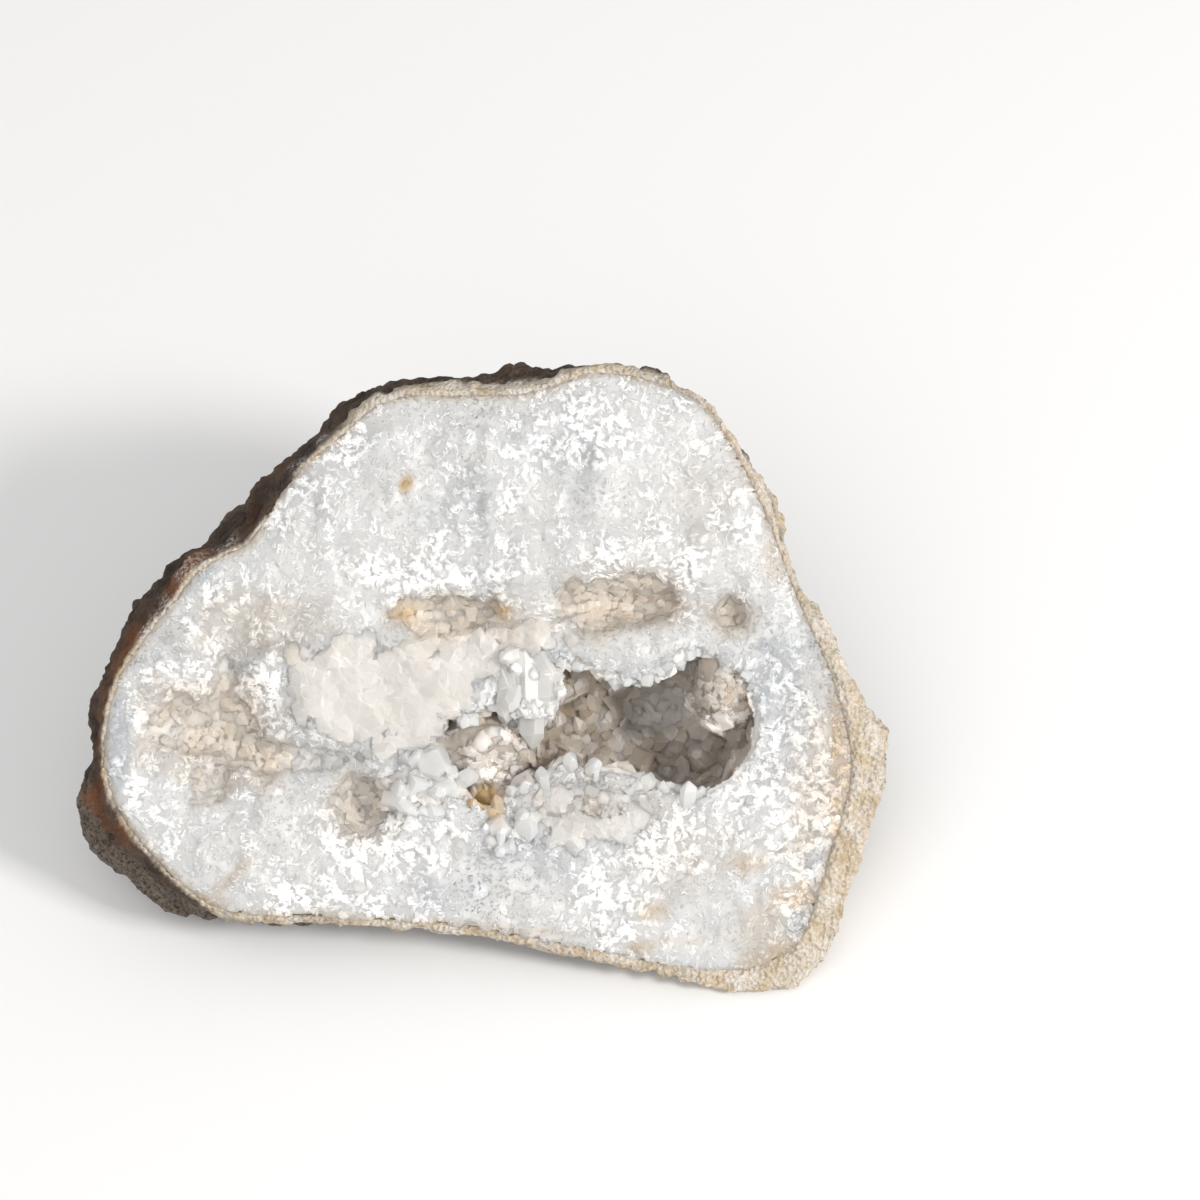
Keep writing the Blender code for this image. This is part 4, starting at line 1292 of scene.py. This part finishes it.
@dataclass(frozen=True)
class QuartzFinish:
    """A finish of quartz: its colours, and how it takes light."""

    name: str
    body: str = "E8E6E1"
    warm: str = "C9BBA9"
    cool: str = "BFC3C8"
    rust: str = "C29740"
    # Colour of the painted shade in the hollow.
    deep: str = "A79A8B"
    pale: str = "FFFFFF"
    mottle: float = 0.5
    roughness: float = 0.4
    smoothest: float = 0.12
    absorption: float = 0.0
    transmission: float = 0.0
    subsurface: float = 0.0
    subsurface_reach: float = 0.004
    subsurface_tint: tuple[float, float, float] = (1.0, 0.93, 0.86)
    ior: float = 1.544
    bump: float = 0.0
    bump_scale: float = 900.0
    bump_height: float = 0.0004

    def build(self, groups: dict[str, bpy.types.NodeTree]) -> bpy.types.Material:
        """Make the material.

        Args:
            groups: the shader node groups by name.

        Returns:
            The material.
        """
        material, nodes, shader = new_material(self.name)
        colours = {"Body": self.body, "Warm": self.warm, "Cool": self.cool, "Rust": self.rust,
                   "Deep": self.deep, "Pale": self.pale}
        inputs = {name: linear(code) for name, code in colours.items()} | {"Mottle": self.mottle}
        colour = nodes.group(groups["quartz colour"], inputs)
        nodes.tree.links.new(colour, shader.inputs["Base Color"])
        rough = nodes.group(groups["glint"], {"Dull": self.roughness, "Smooth": self.smoothest})
        nodes.tree.links.new(rough, shader.inputs["Roughness"])
        shader.inputs["IOR"].default_value = self.ior
        shader.inputs["Transmission Weight"].default_value = self.transmission
        shader.subsurface_method = "BURLEY"
        shader.inputs["Subsurface Weight"].default_value = self.subsurface
        shader.inputs["Subsurface Radius"].default_value = self.subsurface_tint
        shader.inputs["Subsurface Scale"].default_value = self.subsurface_reach
        if self.bump:
            grain = nodes.group(groups["fine grain"], {"Scale": self.bump_scale})
            roughen(nodes, shader, grain, self.bump, self.bump_height)
        if self.absorption:
            inputs = {"Color": linear(self.pale), "Density": self.absorption}
            inside = nodes.add("ShaderNodeVolumeAbsorption", inputs).outputs["Volume"]
            nodes.tree.links.new(inside, nodes.tree.nodes["Material Output"].inputs["Volume"])
        return material


@dataclass(frozen=True)
class RockFinish:
    """The finish of the outer rock: brown, weathered grey and tan, with reddish staining, pale flecks and
    painted shade in its pits.
    """

    name: str = "outer rock"
    brown: str = "5E4A3A"
    dark: str = "33281F"
    red: str = "85512D"
    grey: str = "7E7264"
    tan: str = "D3C2A6"
    pale: str = "E9E4DB"
    umber: str = "B08F66"
    least_rough: float = 0.7
    most_rough: float = 0.95
    bump: float = 0.9
    bump_scale: float = 1000.0
    bump_height: float = 0.0009

    def build(self, groups: dict[str, bpy.types.NodeTree]) -> bpy.types.Material:
        """Make the material.

        Args:
            groups: the shader node groups by name.

        Returns:
            The material.
        """
        material, nodes, shader = new_material(self.name)
        cloud = nodes.noise(170.0, 6.0, 0.7)
        fine = nodes.noise(1200.0, 4.0, 0.75)
        sharper = nodes.spread(cloud, 0.38, 0.62)
        speckle = nodes.spread(fine, 0.44, 0.62)
        colour = nodes.blend(sharper, linear(self.dark), linear(self.brown))
        weathered = nodes.blend(speckle, linear(self.grey), linear(self.dark))
        colour = nodes.blend(nodes.mask("grey"), colour, weathered)
        colour = nodes.blend(nodes.mask("red"), colour, linear(self.red))
        mottled_tan = nodes.blend(sharper, linear(self.tan), linear(self.pale))
        mottled_tan = nodes.blend(nodes.math("MULTIPLY", speckle, 0.5), mottled_tan, linear(self.umber))
        colour = nodes.blend(nodes.mask("tan"), colour, mottled_tan)
        # Painted shade in the pits of the rock.
        colour = nodes.blend(nodes.mask("pit"), colour, linear(self.dark))
        colour = nodes.blend(nodes.math("MULTIPLY", nodes.mask("fleck"), speckle), colour, linear(self.pale))
        nodes.tree.links.new(colour, shader.inputs["Base Color"])
        limits = {"To Min": self.least_rough, "To Max": self.most_rough}
        rough = nodes.add("ShaderNodeMapRange", {"Value": fine} | limits).outputs[0]
        nodes.tree.links.new(rough, shader.inputs["Roughness"])
        grain = nodes.group(groups["fine grain"], {"Scale": self.bump_scale})
        roughen(nodes, shader, grain, self.bump, self.bump_height)
        return material


@dataclass
class RockRind:
    """The outer rock: the CAD solid's shell with weathered lumps, furrows and pits."""

    face: BrokenFace
    voxel: float = 0.9
    smoothing: int = 10
    pull: float = 0.6
    lump_height: float = 1.0
    furrow_height: float = 0.5
    crumb_height: float = 0.55
    pit_depth: float = 0.8
    granule_height: float = 0.5
    rim_lift: float = 0.7
    ground: float = 0.6
    flecks: tuple[tuple[float, float, float], ...] = (
        (-39.5, 52.0, 3.0), (-55.5, 34.6, 3.2), (-61.0, 32.0, 3.2), (-69.5, 20.0, 3.5), (-71.0, 15.0, 3.0),
        (-63.0, 28.0, 3.0), (-22.0, 65.5, 3.0), (-35.0, 57.0, 2.5), (8.0, 67.5, 5.0), (-6.0, 67.0, 4.0),
    )

    def remeshed(self) -> tuple[np.ndarray, np.ndarray]:
        """Mesh the CAD solid's surface evenly.

        Returns:
            Points in metres, and quads.
        """
        shape = joined_copy("rock_rind")
        copy = bpy.data.meshes.new("rind copy")
        shape.to_mesh(copy)
        shape.free()
        obj = new_object(copy)
        remesh = obj.modifiers.new("even mesh", "REMESH")
        remesh.mode = "VOXEL"
        remesh.voxel_size = self.voxel * MM
        mesh = bpy.data.meshes.new_from_object(obj.evaluated_get(bpy.context.evaluated_depsgraph_get()))
        bpy.data.objects.remove(obj)
        points = mesh_points(mesh)
        corners = np.zeros(len(mesh.loops), np.int32)
        mesh.loops.foreach_get("vertex_index", corners)
        return points, corners.reshape(-1, 4)

    def smoothed(self, points: np.ndarray, quads: np.ndarray, hold: np.ndarray) -> np.ndarray:
        """Round the facets off.

        Args:
            points: places as rows.
            quads: rows of point numbers.
            hold: 1 where a point stays in its place, 0 where it is free.

        Returns:
            The new places.
        """
        edges = np.concatenate([quads[:, [i, (i + 1) % 4]] for i in range(4)])
        count = np.bincount(edges[:, 0], minlength=len(points))[:, None]
        for _ in range(self.smoothing):
            total = np.stack([np.bincount(edges[:, 0], points[edges[:, 1], axis], len(points))
                              for axis in range(3)], axis=1)
            points = points + self.pull * (1.0 - hold)[:, None] * (total / count - points)
        return points

    def build(self) -> bpy.types.Object:
        """Shape the rind.

        Returns:
            The finished rind without its material.
        """
        points, quads = self.remeshed()
        place = FACE.to_face(points)
        rim = polygon_distance(place[:, :2], self.face.rim())
        on_rim = smooth_step((place[:, 2] + 2.4) / 1.6)
        inside = smooth_step((1.0 - rim) / 0.6)
        points = self.smoothed(points, quads, np.maximum(on_rim, inside))
        mesh = new_mesh("rock_surface", points, quads)
        normals = mesh_normals(mesh)
        place = FACE.to_face(points)
        millimetres = points / MM
        furrow = smooth_noise(place * np.array((0.16, 0.16, 0.85)), 1.0, SEED + 20)
        furrow += 0.5 * smooth_noise(place * np.array((0.4, 0.4, 1.7)), 1.0, SEED + 21)
        lumps = layered_noise(millimetres, 6.0, SEED + 22)
        crumbs = layered_noise(millimetres, 1.9, SEED + 23, 2)
        pits = smooth_step((smooth_noise(millimetres, 4.2, SEED + 24) - 0.35) / 0.3)
        free = smooth_step(points[:, 2] / MM / self.ground) * (1.0 - 0.75 * on_rim) * (1.0 - inside)
        change = self.lump_height * lumps + self.furrow_height * furrow + self.crumb_height * crumbs
        change = change - self.pit_depth * pits
        granular = self.granule_height * on_rim * smooth_step(rim - 0.4)
        granular = granular * layered_noise(millimetres, 1.6, SEED + 25, 2)
        points = points + normals * (change * free + granular)[:, None] * MM
        lift = self.rim_lift * on_rim * (1.0 - smooth_step((rim - 2.0) / 2.0))
        points = points + FACE.axes[:, 2] * lift[:, None] * MM
        points[:, 2] = np.maximum(points[:, 2], 0.0)
        mesh.vertices.foreach_set("co", points.astype(np.float32).ravel())
        mesh.update()
        store(mesh, self.masks(place, rim, on_rim, pits, lumps))
        mesh.shade_smooth()
        return new_object(mesh)

    def masks(self, place: np.ndarray, rim: np.ndarray, on_rim: np.ndarray, pits: np.ndarray,
              lumps: np.ndarray) -> dict[str, np.ndarray]:
        """Where the rock is tan, grey, reddish or flecked, and where painted shade darkens its pits.

        Args:
            place: rows of u, v and w.
            rim: distance of each point to the quartz, over the face.
            on_rim: 1 on the broken edge, 0 below it.
            pits: 1 in the pits.
            lumps: noise that raised the lumps.

        Returns:
            One number for each point under each mask's name.
        """
        u, v, w = place.T
        ragged = layered_noise(place, 7.0, SEED + 30)
        right = smooth_step((u - 55.0 + 8.0 * ragged) / 10.0) * smooth_step((w + 16.0 + 5.0 * ragged) / 8.0)
        top = smooth_step((v - 50.0) / 6.0) * smooth_step((u + 34.0) / 8.0) * smooth_step((w + 4.0) / 2.5)
        side = smooth_step((u - 44.0) / 5.0) * smooth_step((w + 5.0 + 2.0 * ragged) / 3.0)
        line = on_rim * smooth_step((1.9 - rim) / 0.9) * smooth_step((ragged + 0.9) / 0.8)
        low = smooth_step((-v - 44.0) / 3.0) * smooth_step((w + 5.0) / 3.0)
        left = smooth_step((-u - 38.0) / 8.0) * smooth_step((w + 6.0 + 3.0 * ragged) / 4.0)
        under = smooth_step((-v - 12.0 + 7.0 * ragged) / 12.0) * smooth_step((-w - 1.5) / 3.0)
        behind = smooth_step((-w - 8.0) / 12.0) * (0.55 + 0.5 * ragged)
        fleck = np.zeros(len(place))
        for fleck_u, fleck_v, reach in self.flecks:
            share = np.hypot(u - fleck_u, v - fleck_v) / reach
            fleck = np.maximum(fleck, smooth_step(1.4 - share) * smooth_step((w + 5.0) / 3.5))
        return {
            "tan": np.clip(np.maximum.reduce([right, side, 0.85 * top, line, 0.9 * low]), 0.0, 1.0),
            "grey": np.clip(np.maximum(under, behind), 0.0, 1.0),
            "red": np.clip(left * smooth_step((v + 40.0) / 8.0) * (0.2 + 0.9 * ragged), 0.0, 0.65),
            # Painted shade in the pits, less on the lumps.
            "pit": np.clip(0.6 * pits * (1.0 - on_rim) - 0.2 * lumps, 0.0, 0.7),
            "fleck": np.clip(0.75 * fleck, 0.0, 1.0),
        }


class Shapes(Enum):
    """Families of small crystals, named for the collection that holds their shapes."""

    FINE = "fine grains"
    BROAD = "broad crystals"
    CHUNKS = "angular crystals"


def small_point(rng: np.random.Generator, sides: int, height: float) -> tuple[np.ndarray, np.ndarray]:
    """A low uneven pyramid of about unit radius, with its tip up.

    Args:
        rng: source of its unevenness.
        sides: how many faces meet at its tip.
        height: of its tip over its foot.

    Returns:
        Corners and triangles.
    """
    turns = (np.arange(sides) + rng.uniform(-0.25, 0.25, sides)) * 2.0 * math.pi / sides
    reach = rng.uniform(0.75, 1.1, sides)
    ring = np.stack((reach * np.cos(turns), reach * np.sin(turns), np.full(sides, -0.3)), axis=1)
    tip = (*rng.uniform(-0.3, 0.3, 2), height)
    ahead = np.roll(np.arange(sides), -1)
    walls = [(i, j, sides) for i, j in zip(range(sides), ahead)]
    foot = [(0, i + 1, i) for i in range(1, sides - 1)]
    return np.vstack((ring, tip)), np.array(walls + foot)


def shape_collection(family: Shapes) -> bpy.types.Collection:
    """Make the shapes that one family of small crystals repeats, each about a unit in radius.

    Args:
        family: which shapes to make.

    Returns:
        The collection that holds them.
    """
    rng = np.random.default_rng(SEED + len(family.value))
    collection = bpy.data.collections.new(family.value)
    for number in range(SHAPES_PER_FAMILY):
        if family is Shapes.BROAD:
            corners, triangles = angular_chunk(rng, 12, 0.32)
        elif family is Shapes.FINE and number < 4:
            corners, triangles = small_point(rng, 4 + number % 3, 0.1 + 0.04 * number)
        else:
            corners, triangles = angular_chunk(rng, 6, 0.3 if family is Shapes.FINE else 0.6)
        mesh = new_mesh(f"{family.value} {number}", corners, triangles)
        mesh.shade_flat()
        collection.objects.link(bpy.data.objects.new(mesh.name, mesh))
    return collection


def coat_tree() -> bpy.types.NodeTree:
    """Geometry Nodes that set small crystals all over a surface.

    Returns:
        The node tree, with named inputs for spacing, sizes, lean, seed, shapes and finish.
    """
    tree = bpy.data.node_groups.new("crystal coat", "GeometryNodeTree")
    for name, kind in (("Geometry", "NodeSocketGeometry"), ("Spacing", "NodeSocketFloat"),
                       ("Smallest", "NodeSocketFloat"), ("Largest", "NodeSocketFloat"),
                       ("Lean", "NodeSocketFloat"), ("Seed", "NodeSocketInt"),
                       ("Shapes", "NodeSocketCollection"), ("Finish", "NodeSocketMaterial")):
        tree.interface.new_socket(name, in_out="INPUT", socket_type=kind)
    tree.interface.new_socket("Geometry", in_out="OUTPUT", socket_type="NodeSocketGeometry")
    nodes = Nodes(tree)
    given = nodes.add("NodeGroupInput").outputs
    density = nodes.named("druse")
    spread = nodes.add("GeometryNodeDistributePointsOnFaces", distribute_method="POISSON")
    sockets = {socket.name: socket for socket in spread.inputs if socket.enabled}
    for name, value in (("Mesh", given["Geometry"]), ("Distance Min", given["Spacing"]),
                        ("Density Factor", density), ("Seed", given["Seed"])):
        tree.links.new(value, sockets[name])
    sockets["Density Max"].default_value = MOST_PER_SQUARE_METRE
    tilt = nodes.add("ShaderNodeCombineXYZ", {0: given["Lean"], 1: given["Lean"], 2: math.pi}).outputs[0]
    back = nodes.add("ShaderNodeVectorMath", {0: tilt, "Scale": -1.0}, operation="SCALE").outputs[0]
    lean = nodes.random(1, {0: back, 1: tilt}, "FLOAT_VECTOR")
    turn = nodes.add("FunctionNodeEulerToRotation", {0: lean}).outputs[0]
    way = nodes.add("FunctionNodeRotateRotation", {0: spread.outputs["Rotation"], 1: turn},
                    rotation_space="LOCAL")
    size = nodes.random(2, {2: given["Smallest"], 3: given["Largest"]})
    scale = nodes.add("ShaderNodeMath", {0: size, 1: nodes.named("coarse")}, operation="MULTIPLY").outputs[0]
    shapes = nodes.add("GeometryNodeCollectionInfo", {0: given["Shapes"]})
    shapes.inputs["Separate Children"].default_value = True
    shapes.inputs["Reset Children"].default_value = True
    pick = nodes.random(3, {4: 0, 5: SHAPES_PER_FAMILY - 1}, "INT")
    placed = nodes.add("GeometryNodeInstanceOnPoints", {
        "Points": spread.outputs["Points"], "Instance": shapes.outputs[0], "Pick Instance": True,
        "Instance Index": pick, "Rotation": way.outputs[0], "Scale": scale})
    tone = nodes.random(4, {2: 0.0, 3: 1.0})
    inputs = {"Geometry": placed.outputs["Instances"], "Name": "tone", "Value": tone}
    toned = nodes.add("GeometryNodeStoreNamedAttribute", inputs, data_type="FLOAT", domain="INSTANCE")
    solid = nodes.add("GeometryNodeRealizeInstances", {"Geometry": toned.outputs["Geometry"]})
    dressed = nodes.add("GeometryNodeSetMaterial", {0: solid.outputs[0], "Material": given["Finish"]})
    nodes.add("NodeGroupOutput", {0: dressed.outputs[0]})
    return tree


@dataclass
class CrystalCoat:
    """Small crystals that Geometry Nodes set over part of a surface."""

    name: str
    shapes: bpy.types.Collection
    finish: bpy.types.Material
    slot: Slot
    spacing: float = 0.48
    smallest: float = 0.3
    largest: float = 0.62
    lean: float = 0.1
    seed: int = SEED

    def build(self, tree: bpy.types.NodeTree, points: np.ndarray, faces: np.ndarray,
              attributes: dict[str, np.ndarray]) -> None:
        """Set the crystals.

        Args:
            tree: the Geometry Nodes that set them.
            points: places of the surface in metres.
            faces: the surface's faces that they stand on.
            attributes: masks of the points, with druse for how thickly they stand and coarse for their size.
        """
        used, numbers = np.unique(faces, return_inverse=True)
        mesh = new_mesh(self.name, points[used], numbers.reshape(faces.shape))
        store(mesh, {name: values[used] for name, values in attributes.items()})
        ground = new_object(mesh)
        modifier = ground.modifiers.new("coat", "NODES")
        modifier.node_group = tree
        values = {"Spacing": self.spacing * MM, "Smallest": self.smallest * MM, "Largest": self.largest * MM,
                  "Lean": self.lean, "Seed": self.seed, "Shapes": self.shapes, "Finish": self.finish}
        for socket in tree.interface.items_tree:
            if socket.in_out == "INPUT" and socket.name in values:
                modifier[socket.identifier] = values[socket.name]
        result = ground.evaluated_get(bpy.context.evaluated_depsgraph_get())
        coat = bpy.data.meshes.new_from_object(result)
        bpy.data.objects.remove(ground)
        coat.name = self.name
        piece = new_object(coat)
        piece.name = self.name
        for mask in ("druse", "coarse"):
            if mask in coat.attributes:
                coat.attributes.remove(coat.attributes[mask])
        finish_piece(piece, self.finish, self.slot)


@dataclass(frozen=True)
class Lamp:
    """A square soft light: where it hangs, how wide it is, its power in watts and its colour."""

    name: str
    place: tuple[float, float, float]
    size: float
    power: float
    colour: tuple[float, float, float]


@dataclass
class Studio:
    """Floor, light and camera."""

    floor_size: float = 3.0
    floor_white: float = 0.93
    floor_roughness: float = 0.9
    target: tuple[float, float, float] = (0.0, 0.0, 0.03)
    lamps: tuple[Lamp, ...] = (
        Lamp("key light", (1.35, -0.62, 1.02), 0.34, 20.0, (1.0, 0.98, 0.955)),
        Lamp("fill light", (-0.3, -0.5, 1.1), 1.2, 4.0, (0.98, 0.99, 1.0)),
    )
    surround: tuple[float, float, float, float] = (1.0, 0.99, 0.98, 1.0)
    surround_strength: float = 0.56
    view_distance: float = 720.0
    frame_half: float = 129.0
    frame_centre: tuple[float, float] = (25.8, 21.5)
    sensor: float = 36.0

    def camera(self) -> None:
        """Look straight at the broken face from where the photograph was taken."""
        data = bpy.data.cameras.new("camera")
        data.sensor_width = self.sensor
        data.lens = self.sensor / 2.0 * self.view_distance / self.frame_half
        data.clip_start = 0.01
        data.clip_end = 20.0
        camera = bpy.data.objects.new("camera", data)
        place = FACE.to_frame(np.array([*self.frame_centre, self.view_distance]))
        camera.matrix_world = Matrix.Translation(Vector(place)) @ Matrix(FACE.axes).to_4x4()
        bpy.context.scene.collection.objects.link(camera)
        bpy.context.scene.camera = camera

    def hang(self, lamp: Lamp) -> None:
        """Hang a light that looks at the stone.

        Args:
            lamp: the light.
        """
        data = bpy.data.lights.new(lamp.name, "AREA")
        data.shape = "SQUARE"
        data.size = lamp.size
        data.energy = lamp.power
        data.color = lamp.colour
        light = bpy.data.objects.new(lamp.name, data)
        turn = (Vector(self.target) - Vector(lamp.place)).to_track_quat("-Z", "Y").to_matrix().to_4x4()
        light.matrix_world = Matrix.Translation(Vector(lamp.place)) @ turn
        bpy.context.scene.collection.objects.link(light)

    def build(self) -> None:
        """Set up the floor, the lights, the surrounding light and the camera."""
        half = self.floor_size / 2.0
        corners = np.array([(-half, -half, 0.0), (half, -half, 0.0), (half, half, 0.0), (-half, half, 0.0)])
        floor = new_object(new_mesh("floor", corners, np.array([[0, 1, 2, 3]])))
        paper, _, shader = new_material("pale floor")
        shader.inputs["Base Color"].default_value = (*[self.floor_white] * 3, 1.0)
        shader.inputs["Roughness"].default_value = self.floor_roughness
        floor.data.materials.append(paper)
        for lamp in self.lamps:
            self.hang(lamp)
        world = bpy.data.worlds.new("studio")
        world.use_nodes = True
        background = world.node_tree.nodes["Background"]
        background.inputs["Color"].default_value = self.surround
        background.inputs["Strength"].default_value = self.surround_strength
        bpy.context.scene.world = world
        bpy.context.scene.view_settings.view_transform = "Standard"
        self.camera()


def grown_over(quads: np.ndarray, attributes: dict[str, np.ndarray]) -> np.ndarray:
    """The faces on which small crystals stand."""
    return quads[attributes["druse"][quads].min(axis=1) > 0.02]


class Geode:
    """The whole stone, piece by piece."""

    border_height: float = 10.0
    border_wander: float = 4.0

    def __init__(self) -> None:
        """Make the finishes and the shapes that the pieces share."""
        self.face = BrokenFace()
        groups = {"quartz colour": quartz_colour_group(), "fine grain": fine_grain_group(),
                  "glint": glint_group()}
        self.milky = QuartzFinish("milky quartz", body="E9E7E3", subsurface=1.0, subsurface_reach=0.004,
                                  roughness=0.45, bump=0.3).build(groups)
        self.plain = QuartzFinish("smooth quartz", body="CBC8C4", pale="E2E0DC", subsurface=1.0,
                                  subsurface_reach=0.004, roughness=0.45, bump=0.3).build(groups)
        self.grains = QuartzFinish("quartz grains", body="EEEDEB", subsurface=1.0, subsurface_reach=0.006,
                                   roughness=0.5, mottle=0.25).build(groups)
        self.clear = QuartzFinish("clear quartz", body="DDDEDD", deep="A89B8C", pale="EFF0F0",
                                  transmission=0.18, absorption=20.0, subsurface=0.8,
                                  subsurface_reach=0.003, roughness=0.34, mottle=0.1).build(groups)
        self.frost = QuartzFinish("frosted quartz", body="ECE9E5", deep="9C8F80", subsurface=1.0,
                                  subsurface_reach=0.004, roughness=0.4, mottle=0.2).build(groups)
        self.crust = QuartzFinish("hollow crust", body="E8E2DA", deep="9C8C78", subsurface=0.9,
                                  subsurface_reach=0.003, roughness=0.4, bump=0.15).build(groups)
        self.rock = RockFinish().build(groups)
        self.tree = coat_tree()
        self.fine = shape_collection(Shapes.FINE)
        self.broad = shape_collection(Shapes.BROAD)
        self.chunks = shape_collection(Shapes.CHUNKS)

    def rind(self) -> None:
        """Build the outer rock."""
        finish_piece(RockRind(self.face).build(), self.rock, Slot.ROCK, "rock_rind")

    def quartz(self) -> None:
        """Build the massive quartz and its coat of small crystals."""
        points, quads, attributes = QuartzMass(self.face).build()
        places = FACE.to_frame(points)
        mesh = new_mesh("quartz_mass", places, quads)
        store(mesh, attributes)
        normals = mesh_normals(mesh) @ FACE.axes
        finish_piece(new_object(mesh), self.milky, Slot.MILKY, "quartz_wall")
        open_sky = smooth_step((normals[:, 2] + 0.1) / 0.3) * smooth_step((points[:, 2] + 9.0) / 2.0)
        edge = smooth_step((0.9 - polygon_distance(points[:, :2], self.face.rim())) / 0.8)
        bare = np.clip(attributes["bare"] + 0.8 * attributes["smooth"], 0.0, 1.0)
        attributes["druse"] = open_sky * edge * (1.0 - smooth_step(1.6 * bare))
        attributes["coarse"] = 1.0 + 0.35 * layered_noise(points, 14.0, SEED + 71) + 0.2 * attributes["deep"]
        grown = grown_over(quads, attributes)
        middle = points[grown].mean(axis=1)
        wander = np.stack([layered_noise(middle, 9.0, SEED + number) for number in (75, 76)], axis=1)
        middle[:, :2] += self.border_wander * wander
        flat = dict(attributes)
        flat["druse"] = open_sky * edge * smooth_step(2.0 * bare - 0.3) * 0.9
        flat["coarse"] = 0.75 + 0.5 * attributes["smooth"] * (1.0 - attributes["bare"])
        flat["coarse"] += 0.15 * smooth_noise(points, 9.0, SEED + 74)
        coat = CrystalCoat("broad_crystals_face", self.broad, self.plain, Slot.MILKY, spacing=1.6,
                           smallest=0.9, largest=2.7, lean=0.1, seed=SEED + 5)
        coat.build(self.tree, places, grown_over(quads, flat), flat)
        upper, left = middle[:, 1] > self.border_height, middle[:, 0] < 0.0
        regions = {"druse_upper_left": upper & left, "druse_upper_right": upper & ~left,
                   "druse_lower_left": ~upper & left, "druse_lower_right": ~upper & ~left}
        for number, (name, chosen) in enumerate(regions.items()):
            coat = CrystalCoat(name, self.fine, self.grains, Slot.MILKY, seed=SEED + number)
            coat.build(self.tree, places, grown[chosen], attributes)

    def hollow(self) -> None:
        """Build the lining of the hollow, its small crystals and its large ones."""
        lining = HollowLining(self.face)
        points, quads, attributes = lining.build()
        places = FACE.to_frame(points)
        mesh = new_mesh("hollow_lining", places, quads)
        coat_share = attributes.pop("coat")
        store(mesh, attributes)
        mesh.shade_smooth()
        finish_piece(new_object(mesh), self.crust, Slot.CLEAR, "crystal_crust")
        inwards = self.face.hollow_field(points[:, 0], points[:, 1], points[:, 2])
        bunches = smooth_step((layered_noise(points, 8.0, SEED + 72) + 0.1) / 0.5)
        shallow = smooth_step((points[:, 2] + 7.0) / 4.0) * smooth_step((-inwards - 0.4) / 0.5)
        coated = np.maximum(0.7 * shallow * bunches, coat_share)
        attributes["druse"] = coated * (1.0 - smooth_step(3.0 * attributes["rust"]))
        attributes["coarse"] = 1.0 + 0.4 * smooth_noise(points, 7.0, SEED + 73)
        coat = CrystalCoat("druse_hollow", self.chunks, self.frost, Slot.CLEAR, spacing=0.8,
                           smallest=0.4, largest=0.9, lean=0.3, seed=SEED + 9)
        coat.build(self.tree, places, grown_over(quads, attributes), attributes)
        inner = smooth_step((-inwards - 0.6) / 0.5) * smooth_step((-points[:, 2] - 1.0) / 2.0)
        attributes["druse"] = inner * (1.0 - coated)
        coat = CrystalCoat("broad_crystals_hollow", self.broad, self.crust, Slot.CLEAR, spacing=2.4,
                           smallest=1.2, largest=3.0, lean=0.28, seed=SEED + 10)
        coat.build(self.tree, places, grown_over(quads, attributes), attributes)
        points, triangles, attributes = HollowCrystals(self.face).build()
        mesh = new_mesh("large_crystals", FACE.to_frame(points), triangles)
        mesh.shade_flat()
        store(mesh, attributes)
        finish_piece(new_object(mesh), self.clear, Slot.CLEAR)


def main() -> None:
    """Build the geode, the floor, the light and the camera."""
    logging.basicConfig(level=logging.INFO, format="%(message)s")
    geode = Geode()
    geode.rind()
    geode.quartz()
    geode.hollow()
    Studio().build()


if __name__ == "__main__":
    main()
